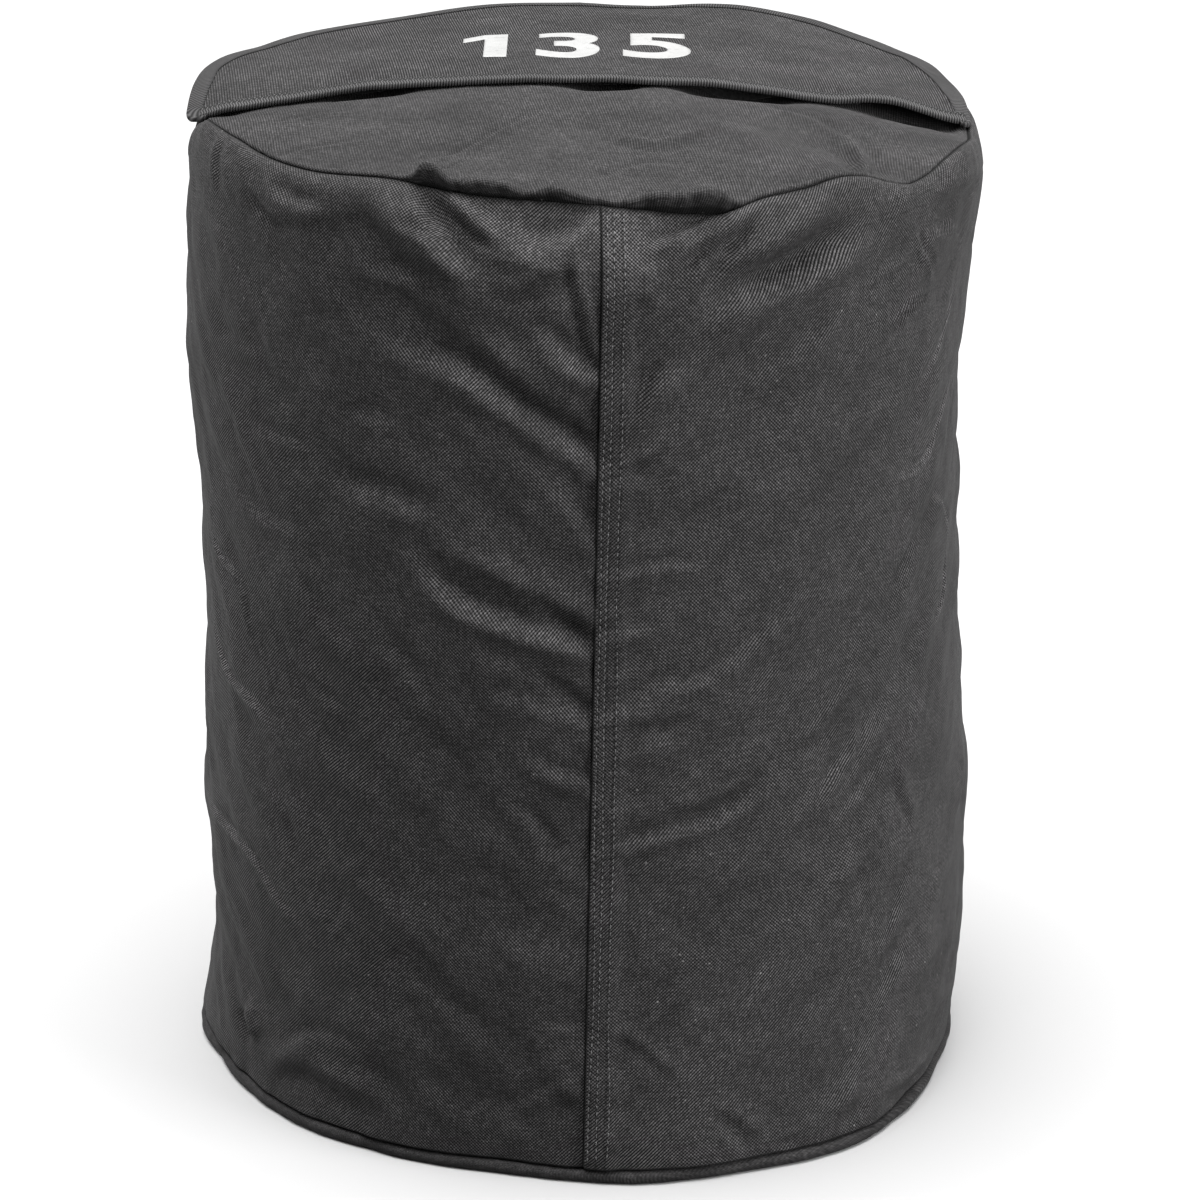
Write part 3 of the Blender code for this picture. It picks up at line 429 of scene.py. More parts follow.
def band(across, along, path, width, strength, flat_start=False, flat_end=False):
    """The relief of one fold: it faces up along its path, and falls back on both sides."""
    points = np.array(path, float)
    last = len(points) - 1
    dense = np.array([smooth(*(points[min(max(k + step, 0), last)] for step in FOUR), part)
                      for k in range(last) for part in np.linspace(0.0, 1.0, 6, endpoint=k == last - 1)])
    low, high = dense.min(0) - 3.4 * width, dense.max(0) + 3.4 * width
    inside = (across > low[0]) & (across < high[0]) & (along > low[1]) & (along < high[1])
    relief = np.zeros(np.shape(across))
    if not inside.any():
        return relief
    steps, gone = np.diff(dense, axis=0), travelled(dense)
    lengths = np.linalg.norm(steps, axis=1)
    offset = np.stack([across[inside], along[inside]], -1)[:, None] - dense[:-1]
    part = np.clip((offset * steps).sum(-1) / lengths ** 2, 0.0, 1.0)
    miss = offset - part[..., None] * steps
    distance = np.linalg.norm(miss, axis=-1)
    nearest = distance.argmin(1)
    rows = np.arange(len(nearest))
    step, off = steps[nearest], miss[rows, nearest]
    q = np.sign(step[:, 1] * off[:, 0] - step[:, 0] * off[:, 1]) * distance[rows, nearest] / width
    share = (gone[nearest] + part[rows, nearest] * lengths[nearest]) / gone[-1]
    taper = (flat_start or step_up(share, -0.02, 0.34)) * (flat_end or step_up(1.0 - share, -0.02, 0.34))
    relief[inside] = strength * width * q * np.exp(-0.5 * q * q) * taper
    return relief


def bearings(count):
    """Evenly spaced angles all round."""
    return np.arange(count) * TURN / count


def grid(*parts):
    """A grid of points from arrays of their parts."""
    return np.stack(np.broadcast_arrays(*parts), -1)


def polar(angle, radius, height):
    """Points from angles, radii and heights."""
    return grid(radius * np.sin(angle), -radius * np.cos(angle), height)


def linked(name, data, place=(0.0, 0.0, 0.0)):
    """A new object in the scene."""
    made = bpy.data.objects.new(name, data)
    made.location = place
    bpy.context.scene.collection.objects.link(made)
    return made


def smooth_object(name, mesh, finish):
    """A new object for a smooth mesh, with its material."""
    mesh.shade_smooth()
    mesh.materials.append(finish)
    return linked(name, mesh)


def grid_object(name, points, uv, finish, closed=None, wear_and_shade=None):
    """An object from a grid of points, its UV map, and its worn creases and painted shade and highlights.

    Closed is how far the UV map of a round one goes on where its grid meets itself."""
    index = np.arange(points[..., 0].size).reshape(points.shape[:2])
    if closed is not None:
        index = np.concatenate([index, index[:, :1]], 1)
        uv = np.concatenate([uv, uv[:, :1] + closed], 1)
    spots = np.arange(uv[..., 0].size).reshape(uv.shape[:2])
    faces, corners = (np.stack([at[:-1, :-1], at[:-1, 1:], at[1:, 1:], at[1:, :-1]], -1).reshape(-1, 4)
                      for at in (index, spots))
    mesh = bpy.data.meshes.new(name)
    mesh.from_pydata(points.reshape(-1, 3).tolist(), [], faces.tolist())
    layer = mesh.uv_layers.new(name="cloth")
    layer.data.foreach_set("uv", uv.reshape(-1, 2)[corners.ravel()].astype(np.float32).ravel())
    if wear_and_shade is not None:
        wear_and_shade_layer = mesh.attributes.new("wear_and_shade", "FLOAT", "POINT").data
        wear_and_shade_layer.foreach_set("value", wear_and_shade.astype(np.float32).ravel())
    return smooth_object(name, mesh, finish)


def evaluated(target):
    """The mesh that an object shows."""
    bpy.context.view_layer.update()
    return bpy.data.meshes.new_from_object(target.evaluated_get(bpy.context.evaluated_depsgraph_get()))


def thicken(target, thickness, offset=-1.0):
    """Give an open cloth its thickness."""
    solid = target.modifiers.new("thickness", "SOLIDIFY")
    solid.thickness, solid.offset = thickness, offset
    mesh = evaluated(target)
    target.modifiers.clear()
    target.data = mesh
    return target


@contextmanager
def reshaping(mesh):
    """A mesh as a bmesh, which goes back into it."""
    shape = bmesh.new()
    shape.from_mesh(mesh)
    yield shape
    shape.to_mesh(mesh)
    shape.free()


def close_centre(target):
    """Close the small hole that a grid of rings leaves at its middle."""
    with reshaping(target.data) as shape:
        rim = [edge for edge in shape.edges if edge.is_boundary and edge.verts[0].co.xy.length < 0.01]
        bmesh.ops.holes_fill(shape, edges=rim)
    return target


def weld(target, close=True):
    """Join a swept tube's seam and close its ends."""
    with reshaping(target.data) as shape:
        bmesh.ops.remove_doubles(shape, verts=shape.verts, dist=0.000005)
        edges = [edge for edge in shape.edges if edge.is_boundary]
        if close and edges:
            bmesh.ops.holes_fill(shape, edges=edges)
        bmesh.ops.recalc_face_normals(shape, faces=shape.faces)
    target.data.shade_smooth()
    return target


class Value:
    """A value in a material. A sum written with values makes the nodes that work it out."""

    def __init__(self, graph, socket):
        self.graph, self.socket = graph, socket

    def math(self, kind, other=None):
        """A sum of this value and another."""
        return self.graph.node("Math", (self, other), operation=kind)

    def __add__(self, other):
        return self.math("ADD", other)

    def __sub__(self, other):
        return self.math("SUBTRACT", other)

    def __mul__(self, other):
        return self.math("MULTIPLY", other)

    def __abs__(self):
        return self.math("ABSOLUTE")

    def most(self, other):
        """The greater of this value and another."""
        return self.math("MAXIMUM", other)

    def wave(self, pitch, shift=0.0):
        """A cosine of this length, from -1 to 1."""
        return (self * (TURN / pitch) + shift).math("COSINE")

    def ramp(self, low, high, start=0.0, end=1.0):
        """This value spread from between low and high to between start and end."""
        return self.graph.node("MapRange", (self, low, high, start, end), interpolation_type="SMOOTHSTEP")

    def noise(self, scale, detail=2.0, roughness=0.5):
        """Noise from 0 to 1 at this point."""
        sockets = {"Vector": self, "Scale": scale, "Detail": detail, "Roughness": roughness}
        return self.graph.node("TexNoise", sockets)

    def stretched(self, *scales):
        """This point, scaled along each axis."""
        return self.graph.node("VectorMath", (self, scales), operation="MULTIPLY")

    def cells(self, scale):
        """The distance from this point to the nearest of scattered ones."""
        return self.graph.node("TexVoronoi", {"Vector": self, "Scale": scale}, "Distance")


class Graph:
    """A material's nodes. It starts with the UV map's point and two lengths, and the object's point."""

    def __init__(self, name):
        self.material = bpy.data.materials.new(name)
        self.material.use_nodes = True
        self.cloth = self.node("UVMap", uv_map="cloth")
        self.u, self.v = (self.node("SeparateXYZ", (self.cloth,), axis) for axis in (0, 1))
        self.place = self.node("TexCoord", output="Object")

    def node(self, kind, sockets=(), output=0, **settings):
        """An output of a new node, whose sockets are given in order or by name."""
        made = self.material.node_tree.nodes.new("ShaderNode" + kind)
        for setting, value in settings.items():
            setattr(made, setting, value)
        self.plug(made, sockets)
        return Value(self, made.outputs[output])

    def plug(self, node, sockets):
        """Link or set sockets of a node."""
        for key, value in sockets.items() if isinstance(sockets, dict) else enumerate(sockets):
            if isinstance(value, Value):
                self.material.node_tree.links.new(value.socket, node.inputs[key])
            elif value is not None:
                node.inputs[key].default_value = value

    def shade(self, colour, value):
        """A colour made darker or lighter by a value."""
        return self.node("VectorMath", {0: colour, "Scale": value}, operation="SCALE")

    def mix(self, share, first, second):
        """Two colours mixed by a share."""
        return self.node("Mix", {0: share, 6: first, 7: second}, 2, data_type="RGBA")

    def finish(self, colour, roughness, height=None, depth=0.0002, sheen=0.0, specular=0.3,
               sheen_roughness=0.5):
        """Join the colour, roughness and relief to the shader."""
        bump = height and self.node("Bump", {"Distance": depth, "Height": height})
        self.plug(self.material.node_tree.nodes["Principled BSDF"], {
            "Base Color": colour, "Roughness": roughness, "Specular IOR Level": specular,
            "Sheen Weight": sheen, "Sheen Roughness": sheen_roughness, "Normal": bump})
        return self.material


def woven(name, base, contrast, diagonal=0.62, lint=1.0, stitched=False, ribbed=False, worn=False):
    """Heavy plain-woven nylon: crossing threads, soft dirt, worn creases, a few pale fibres, and painted
    shade and highlights.
    """
    g = Graph(name)
    u, v, cloth, place = g.u, g.v, g.cloth, g.place
    one, two = (u + v).wave(WEAVE_REPEAT), (u - v).wave(WEAVE_REPEAT)
    if ribbed:
        one, two = v.wave(RIB_PITCH * 0.9), (v * 0.12 + u).wave(RIB_PITCH)
    share = place.noise(9.0, 1.0).ramp(0.35, 0.65, -0.22, 0.22) + diagonal
    weave = one + (two - one) * share
    yarn = (cloth.stretched(110.0, 720.0, 1.0).noise(1.0, 1.0)
            + cloth.stretched(720.0, 110.0, 1.0).noise(1.0, 1.0))
    relief = weave + yarn * 0.6
    lit = (weave * contrast + 1.0).most(0.06) * yarn.ramp(0.7, 1.3, 0.66, 1.34)
    lit = lit * cloth.noise(620.0, 2.0, 0.6).ramp(0.3, 0.7, 0.64, 1.36)
    lit = lit * place.noise(150.0, 2.0, 0.6).ramp(0.3, 0.7, 0.91, 1.09)
    lit = lit * place.noise(26.0, 4.0, 0.62).ramp(0.28, 0.72, 0.82, 1.18)
    lit = lit * place.noise(5.0).ramp(0.3, 0.7, 0.93, 1.07)
    if ribbed:
        lit = lit * place.stretched(16.0, 34.0, 10.0).noise(1.0, 3.0, 0.6).ramp(0.35, 0.65, 0.88, 1.12)
    if stitched:
        wander = (cloth.noise(14.0, 1.0) - 0.5) * 0.0016
        dots = reduce(Value.most, [
            abs(u + wander - row).ramp(0.0004, 0.0012, 1.0, 0.0)
            * v.wave(STITCH_PITCH, 1.3 * number).ramp(0.45, 0.85, 0.25, 1.0)
            for number, row in enumerate(LAP_ROWS)])
        # Painted shade: the stitch rows' holes are painted dark, and a dark line along the lap's folded edge
        # is a painted shadow of the gap under it.
        lit = lit * (dots * -0.72 + 1.0) * abs(u + 0.0003).ramp(0.0003, 0.0011, 0.12, 1.0)
        relief = relief - dots * 1.6
    # With worn, the mesh's attribute paints shade and highlights onto the cloth and lightens its worn
    # creases.
    if worn:
        lit = lit * (g.node("Attribute", output="Fac", attribute_name="wear_and_shade") * 2.6 + 1.0)
    specks = place.cells(95.0).ramp(0.035, 0.075, 1.0, 0.0) * place.noise(7.0).ramp(0.42, 0.62)
    fluff = place.noise(150.0).ramp(0.60, 0.72) * 0.4 + 0.35 * lint
    colour = g.mix(specks * fluff, g.shade(base, lit), (0.16, 0.157, 0.155, 1.0))
    return g.finish(colour, weave.ramp(-1.0, 1.0, 0.80, 0.62), relief, 0.00013, sheen=0.015, specular=0.08,
                    sheen_roughness=0.45)


def taped(name, base, pitch, lean_width, contrast, dotted=False):
    """Narrow woven tape. Its ribs lean one way and then the other across its width."""
    g = Graph(name)
    ribs = (g.u + g.v.math("PINGPONG", lean_width) * 0.3).wave(pitch)
    relief = ribs + g.cloth.stretched(2600.0, 420.0, 1.0).noise(1.0) * 0.5
    lit = (ribs * contrast + 1.0).most(0.06) * g.place.noise(40.0, 3.0).ramp(0.3, 0.7, 0.88, 1.12)
    if dotted:
        dots = reduce(Value.most, [
            abs(g.v - row).ramp(0.0009, 0.0016, 1.0, 0.0) * g.u.wave(pitch * 1.8, shift).ramp(-0.5, 0.4)
            for row, shift in ((0.0052, 0.0), (0.0074, pi))])
        lit = lit * (dots * -0.85 + 1.0)
        relief = relief - dots * 1.2
    return g.finish(g.shade(base, lit), 0.75, relief, 0.00022, sheen=0.015, specular=0.10)


def plain_cloth(name, base):
    """Thin smooth cloth, as of the inner bag."""
    g = Graph(name)
    weave = g.u.wave(0.0009) * g.v.wave(0.0009)
    crumple = g.place.noise(60.0, 5.0, 0.6)
    lit = (weave * 0.12 + 1.0) * crumple.ramp(0.3, 0.7, 0.85, 1.15)
    return g.finish(g.shade(base, lit), 0.55, weave * 0.15 + crumple * 2.2, 0.0006, sheen=0.1, specular=0.4)


def looped(name, base, scale):
    """Hook-and-loop pile."""
    g = Graph(name)
    pile, fuzz = g.cloth.cells(scale), g.cloth.noise(scale * 0.7, 3.0, 0.7)
    lit = pile.ramp(0.0, 0.6, 0.55, 1.5) * fuzz.ramp(0.3, 0.7, 0.7, 1.3)
    return g.finish(g.shade(base, lit), 0.9, pile + fuzz, 0.0007, sheen=0.1, specular=0.1)


def thread(name, base):
    """Twisted sewing thread."""
    g = Graph(name)
    twist = g.place.noise(1500.0, 1.0)
    lit = twist.ramp(0.3, 0.7, 0.7, 1.3)
    return g.finish(g.shade(base, lit), 0.5, twist, 0.0001, sheen=0.2, specular=0.4)


def printed(name, base):
    """Pale rubbery print that has cracked and worn a little with the weave."""
    g = Graph(name)
    worn = g.place.noise(170.0, 4.0, 0.65).ramp(0.30, 0.46, 0.78, 1.0)
    scuffs = g.place.noise(30.0, 3.0, 0.6).ramp(0.30, 0.55, 0.90, 1.0)
    return g.finish(g.shade(base, worn * scuffs), 0.55, g.place.noise(900.0), 0.0001, specular=0.35)


def sandy(name, dark, pale):
    """Dry sand."""
    g = Graph(name)
    tone = g.place.noise(500.0, 3.0)
    return g.finish(g.mix(tone, dark, pale), 0.9, g.place.cells(900.0) + tone, 0.0006, specular=0.2)


def floor_paper(name, base):
    """The pale sweep that the bag stands on."""
    g = Graph(name)
    return g.finish(g.shade(base, g.place.noise(3.0).ramp(0.3, 0.7, 0.985, 1.0)), 0.95, specular=0.05)


# The wall and the top take painted shade and painted highlights from their meshes' attribute; the wall's also
# holds its worn creases.
BODY_CLOTH = woven("body_cloth", (0.0117, 0.0113, 0.0115), 2.0, stitched=True, worn=True)
TOP_CLOTH = woven("top_cloth", (0.0117, 0.0113, 0.0115), 0.75, 0.75, 0.7, ribbed=True, worn=True)
FLAP_CLOTH = woven("flap_cloth", (0.0110, 0.0106, 0.0108), 2.0, 0.75, 0.5, ribbed=True)
BASE_CLOTH = woven("base_cloth", (0.0104, 0.0100, 0.0102), 0.30, lint=0.3)
EDGE_TAPE = taped("edge_tape", (0.0150, 0.0146, 0.0148), 0.0017, 0.030, 0.9)
FRONT_TAPE = taped("front_tape", (0.0200, 0.0196, 0.0198), 0.00162, 0.0035, 0.95, dotted=True)
LINER = plain_cloth("liner_cloth", (0.018, 0.020, 0.023))
# The loop pile is dark in its own right, and darker still so that the gaps under the flap's front edge read
# as shade: partly painted shade.
STRIP = looped("hook_and_loop", (0.0060, 0.0060, 0.0060), 620.0)
HOOKS = looped("hooks", (0.0095, 0.0095, 0.0095), 900.0)
THREAD = thread("thread", (0.019, 0.0185, 0.019))
PRINT = printed("weight_print", (0.150, 0.150, 0.148))
SAND = sandy("sand", (0.42, 0.33, 0.22, 1.0), (0.66, 0.56, 0.42, 1.0))
FLOOR = floor_paper("floor", (0.185, 0.185, 0.185))


def edge_arc(height):
    """Metres round from the front to the lap's folded edge at a height."""
    return LAP_FOOT_OFFSET + (LAP_HEAD_OFFSET - LAP_FOOT_OFFSET) * height / RIM_HEIGHT


def slope_of(start, end):
    """How fast a path climbs, kept within bounds."""
    run = max(abs(end[0] - start[0]), 0.002)
    return float(np.clip((end[1] - start[1]) / run, -1.5, 1.5))


def extended(path, left):
    """A fold's path on the wall, carried on under the seam where it runs up to it."""
    spots = [wall_spot(pixel) for pixel in path]
    if left and path[-1][0] > LAP_PIXELS[0]:
        spots.append((spots[-1][0] + CARRY, spots[-1][1] + CARRY * slope_of(*spots[-2:])))
    if not left and path[0][0] < LAP_PIXELS[1]:
        spots.insert(0, (spots[0][0] - CARRY, spots[0][1] - CARRY * slope_of(*spots[:2])))
    return spots


def wall_relief(arc, height):
    """The folds of the wall, and how pale they are worn. Arc is from minus to plus half its girth."""
    relief, wear_and_shade = np.zeros(arc.shape), np.zeros(arc.shape)
    edge = edge_arc(height)
    for folds in (WALL_FOLDS, WALL_CREASES):
        for strength, width, *path in folds:
            path = pixels(path)
            left = path[0][0] < PHOTO_SIDE / 2
            spots = extended(path, left)
            carried = len(spots) > len(path)
            shape = band(arc, height, spots, width * WALL_PIXEL, strength,
                         flat_start=carried and not left, flat_end=carried and left)
            relief += shape * (arc < edge if left else arc > edge)
            if folds is WALL_CREASES:
                narrow = 0.8 * width * WALL_PIXEL
                wear_and_shade += np.abs(band(arc, height, spots, narrow, 1.0)) / narrow
    held = step_up(np.abs(arc - edge - 0.4 * LAP_WIDTH), 0.4 * LAP_WIDTH, 1.1 * LAP_WIDTH)
    return relief * FOLD_GAIN * (0.35 + 0.65 * held), np.clip(0.6 * wear_and_shade, 0.0, 0.5)


def back_relief(arc, height):
    """Folds of the same kind on the sides and back, which the photograph doesn't show."""
    random = np.random.RandomState(11)
    relief = np.zeros(arc.shape)
    for number in range(BACK_FOLDS):
        start = random.uniform(BACK_START, GIRTH - BACK_START)
        level = random.uniform(0.03, 0.54)
        length = random.uniform(0.03, 0.10)
        rise = random.choice((-1.0, 1.0)) * random.uniform(0.25, 1.0) * length / 2
        strength = random.choice((-1.0, 1.0)) * random.uniform(0.10, 0.34)
        bow = random.uniform(-0.01, 0.01)
        path = ((start - length / 2, level - rise), (start, level + bow), (start + length / 2, level + rise))
        relief += band(np.mod(arc, GIRTH), height, path, random.uniform(0.003, 0.009), strength)
    return relief


def slanted(arc, height):
    """Long soft wrinkles that slope down to the front seam from both sides."""
    near = arc < GIRTH / 2.0
    from_front = np.where(near, arc, GIRTH - arc)
    total = 0.0
    for lean, long, short, size, seed in SLANTS:
        along = from_front * cos(lean) + height * sin(lean)
        across = height * cos(lean) - from_front * sin(lean)
        total = total + size * ripple(along + np.where(near, 0.0, 11.3), across, long, short, seed)
    fade = step_up(np.abs(arc - GIRTH / 2.0), 0.0, 0.05) * step_up(height, 0.0, 0.05)
    return total * (0.25 + 0.75 * fade)


def make_wall():
    """The wall: one cloth whose ends lap at the front."""
    front = np.arange(0.0, WALL_FRONT, WALL_STEP)
    back = np.linspace(WALL_FRONT, GIRTH - WALL_FRONT, 132)[1:]
    tail = np.arange(GIRTH - WALL_FRONT, GIRTH, WALL_STEP)[1:]
    fold, rise = zip(*LAP_FOLD)
    run = np.concatenate([fold, front[front > 0.002], back, tail, GIRTH + np.array(LAP_UNDER)])
    lift = LAP_RISE * (1.0 - step_up(run, 0.0135, 0.0205)) * (run < 0.5)
    lift[:len(rise)] = rise

    foot = BASE_SEAM_HEIGHT + 0.0003
    low = foot + BEAD
    shares = np.linspace(0.0, 1.0, WALL_ROWS)[:, None]
    lean = step_up(np.abs(run - GIRTH / 2.0), 0.35, 0.68)
    head_angle = (run + LAP_HEAD_OFFSET * lean) / BODY_RADIUS
    crest_height = rim_height(head_angle) + seam_turn(head_angle)
    shoulder = SHOULDER_DEPTH + 0.014 * hump(signed(head_angle), 0.0, 0.30)
    head = crest_height - shoulder
    heights = low + (head - low) * shares
    arcs = run + edge_arc(heights) * lean
    angles = arcs / BODY_RADIUS
    centred = signed(angles) * BODY_RADIUS

    relief, wear_and_shade = wall_relief(centred, heights)
    relief += back_relief(centred, heights) + slanted(arcs, heights)
    relief += 0.00060 * ripple(arcs, heights, GIRTH / 64, 0.024, 3)
    relief += 0.00024 * ripple(arcs, heights, GIRTH / 180, 0.009, 4, 180)
    pucker = ripple(arcs, heights, GIRTH / 110, 0.030, 5, 110)
    relief += pucker * (0.0006 * step_up(shares, 0.92, 1.0) + 0.0007 * step_up(1.0 - shares, 0.955, 1.0))
    from_edge = np.where(run < 0.5, run, run - GIRTH)
    sewn = 0.00038 * sum(hump(from_edge, row, 0.0011) for row in LAP_ROWS) * (run < 0.03)
    relief -= sewn * (0.6 + 0.4 * np.cos(TURN * heights / STITCH_PITCH))
    gathered = ripple(heights, from_edge, 0.0085, 0.02, 6)
    relief += 0.00030 * gathered * step_up(-np.abs(from_edge - 0.007), -0.030, -0.004)

    # Painted shade and highlights: cloth that faces down is painted darker and cloth that faces up lighter,
    # and the broad bulge below the front of the top seam gets a painted highlight.
    slope = np.gradient(relief, axis=0) / np.gradient(heights, axis=0)
    painted_bulge_highlight = 0.125 * hump(centred, -0.012, 0.060) * hump(heights, 0.508, 0.030)
    wear_and_shade = np.clip(wear_and_shade + painted_bulge_highlight - 0.10 * np.clip(slope, -0.9, 0.9), -0.30, 1.0)
    radius = wall_radius(angles, heights) + relief + lift
    body = polar(angles, radius, heights)

    side, seam = angles[-1], seam_radius(angles[-1])
    crest = seam + CREST_REACH
    head_radius = radius[-1] - relief[-1] - lift
    cone = hump(degrees(side), -2.0, 24.0)
    top = []
    for turn in np.linspace(0.0, 0.5 * pi, 17)[1:]:
        part = turn / (0.5 * pi)
        inward = (1.0 - cone) * cos(turn) + cone * (1.0 - part)
        up = head + shoulder * ((1.0 - cone) * sin(turn) + cone * part)
        here = np.clip(wall_relief(centred[-1], up)[0], -0.004, 0.004) + back_relief(centred[-1], up)
        here = (here + 0.0005 * pucker[-1] + slanted(arcs[-1], up)) * (1.0 - part ** 5)
        here = here + lift * (1.0 - part ** 12)
        out = crest + (head_radius - crest) * inward + here * cos(0.7 * turn)
        top.append(polar(side, out, up + here * sin(0.7 * turn)))
    for turn in np.linspace(0.5 * pi, pi, 5)[1:]:
        outward = seam + 0.0002 + BEAD * (1.0 + cos(turn))
        top.append(polar(side, outward, crest_height - BEAD + BEAD * sin(turn)))
    top.append(polar(side, seam + 0.0001, crest_height - SEAM_DEPTH))

    bottom = [polar(angles[0], radius[0] - 0.0085, foot)]
    for turn in np.linspace(-0.5 * pi, 0.0, 5)[:-1]:
        bottom.append(polar(angles[0], radius[0] - BEAD + BEAD * cos(turn), low + BEAD * sin(turn)))

    below = np.linspace(-0.011, -0.001, len(bottom))[:, None] + heights[0]
    steps = np.linalg.norm(np.diff(np.concatenate([body[-1:], top]), axis=0), axis=-1)
    above = np.cumsum(steps, axis=0) + heights[-1]
    rows = np.arange(len(top))[:, None]
    # The head's rows: the wall's top row carried on, a painted highlight on the shoulder at the front, then
    # painted shade, near black, in the top seam's groove.
    painted_head_highlight = 0.19 * hump(centred[-1], -0.002, 0.066)
    head_wear_and_shade = (wear_and_shade[-1] * (1.0 - step_up(rows, 0.0, 12.0)) + painted_head_highlight * (1.0 - step_up(rows, 12.0, 14.5))
              - 0.36 * step_up(rows, 13.4, 15.2))
    # The rolled foot's rows are painted dark: painted shade under the bag's edge.
    return grid_object("wall_cloth", np.concatenate([bottom, body, top]),
                       grid(from_edge, np.concatenate([below, heights, above])), BODY_CLOTH,
                       wear_and_shade=np.concatenate([np.full(below.shape, -0.30), wear_and_shade, head_wear_and_shade]))


def dome(angle, share):
    """The height of the top's outer face by the model's own sizes."""
    rim = rim_height(angle)
    return rim + (CROWN_HEIGHT - rim) * (1.0 - np.clip(share, 0.0, 1.3) ** CROWN_POWER)


def top_height(angle, radius):
    """The height of the top's outer face, raised towards its rolled edge."""
    share = np.clip(radius / seam_radius(angle), 0.0, 1.08)
    broad = lip_height(angle, 5.0)
    fine = lip_height(angle) - broad
    return dome(angle, share) + (broad + seam_turn(angle)) * share ** 5 + fine * share ** 18


def top_dents(x, y):
    """How deep the top sags in its hollows."""
    depth = 0.0
    for column, row, wide, long, size in TOP_DENTS:
        spot = top_spot((column, row))
        depth = depth + size * hump(x, spot[0], wide) * hump(y, spot[1], long)
    return depth


def top_relief(x, y):
    """Soft creases of the top's cloth."""
    relief = 0.0006 * ripple(x, y, 0.031, 0.024, 31) + 0.00018 * ripple(x, y, 0.011, 0.010, 32)
    for strength, width, *path in TOP_CREASES:
        spots = [top_spot(pixel) for pixel in pixels(path)]
        relief = relief + TOP_GAIN * band(x, y, spots, width * 1.4 * TOP_PIXEL, strength)
    return relief - top_dents(x, y)


def top_face(x, y):
    """The height of the top, with its creases."""
    return top_height(np.arctan2(x, -y), np.hypot(x, y)) + top_relief(x, y)


def make_top():
    """The top: a round cloth with the mouth cut in it, whose front edge rolls over its seam."""
    angles = bearings(720)
    seam, lip, crease = seam_radius(angles), lip_height(angles), pleats(angles)
    rim = rim_height(angles) + seam_turn(angles)
    roll = 0.0012 + 0.15 * lip
    bulge = 0.0003 + 0.60 * lip - 1.6 * crease * np.clip(lip / 0.008, 0.15, 1.0)
    start = seam + bulge - roll
    top = top_height(angles, start)
    depth = np.minimum(0.0012 + 0.22 * lip, np.maximum(top - rim, 0.0) * 0.8 + 0.0014)
    low = rim - 0.0016
    rows = [polar(angles, seam - 0.0006, rim - SEAM_DEPTH), polar(angles, seam - 0.0003, rim - 0.0032)]
    for part in np.arange(9) / 9:
        swell = 0.7 * part + 0.3 * sin(0.5 * pi * part)
        rows.append(polar(angles, seam + bulge * swell, low + (top - depth - low) * part))
    for turn in np.linspace(0.0, 0.5 * pi, 9):
        rows.append(polar(angles, start + roll * cos(turn), top - depth + depth * sin(turn)))
    first = len(rows)
    for part in (*np.linspace(0.0, 0.35, 56)[1:], *np.linspace(0.35, 0.985, 36)[1:], 0.997):
        radius = start * (1.0 - part)
        rows.append(polar(angles, radius, top_height(angles, radius)))
    points = np.stack(rows)
    flat = points[first:]
    x, y = flat[..., 0], flat[..., 1]
    flat[..., 2] += top_relief(x, y) * step_up(np.arange(len(flat)), -1.0, 5.0)[:, None]
    inward = np.linalg.norm(flat - points[first - 1], axis=-1)
    flat[..., 2] -= 1.3 * crease * hump(inward, 0.0, 0.010 + 5.0 * crease)

    # Painted shade on the top: the crevice under the rolled edge, the edge's foot, creases that face the
    # front and the pleats' hollows are painted darker, and creases that face back lighter.
    row = np.arange(len(points))[:, None]
    dark = np.interp(degrees(angles), *zip(*LIP_SHADOW))
    shade = -0.37 * (1.0 - step_up(row, dark - 1.0, dark + 1.4))
    shade = shade - 0.12 * (1.0 - step_up(row, 6.0, 17.0)) * np.clip(lip / 0.004, 0.3, 1.0)
    slope = (top_relief(x, y + 0.001) - top_relief(x, y - 0.001)) / 0.002
    shade[first:] -= 0.55 * np.clip(slope, -0.22, 0.22) + 5.0 * crease * hump(inward, 0.0, 0.006)
    steps = np.linalg.norm(np.diff(points, axis=0), axis=-1)
    out = np.concatenate([np.cumsum(steps[::-1], 0)[::-1], np.zeros((1, len(angles)))])
    made = grid_object("top_cloth", points, grid(out * np.sin(angles), -out * np.cos(angles)), TOP_CLOTH,
                       closed=0.0, wear_and_shade=np.clip(shade, -0.36, 0.3))
    return trim_mouth(close_centre(made))


def mouth_outline():
    """Points round the filling mouth, and which way is out of it at each."""
    reach = MOUTH_RADIUS - MOUTH_CORNER
    corner_y = MOUTH_FRONT + MOUTH_CORNER
    corner_x = sqrt(reach ** 2 - corner_y ** 2)
    bearing = atan2(corner_y, corner_x)
    spots = [(x, MOUTH_FRONT) for x in np.linspace(-corner_x, corner_x, 70)[1:-1]]
    outward = [(0.0, -1.0)] * len(spots)
    for x, y, radius, start, end, steps in (
            (corner_x, corner_y, MOUTH_CORNER, -0.5 * pi, bearing, 14),
            (0.0, 0.0, MOUTH_RADIUS, bearing, pi - bearing, 90),
            (-corner_x, corner_y, MOUTH_CORNER, pi - bearing, 1.5 * pi, 14)):
        for turn in np.linspace(start, end, steps + 1)[:-1]:
            spots.append((x + radius * cos(turn), y + radius * sin(turn)))
            outward.append((cos(turn), sin(turn)))
    return np.array(spots), np.array(outward)


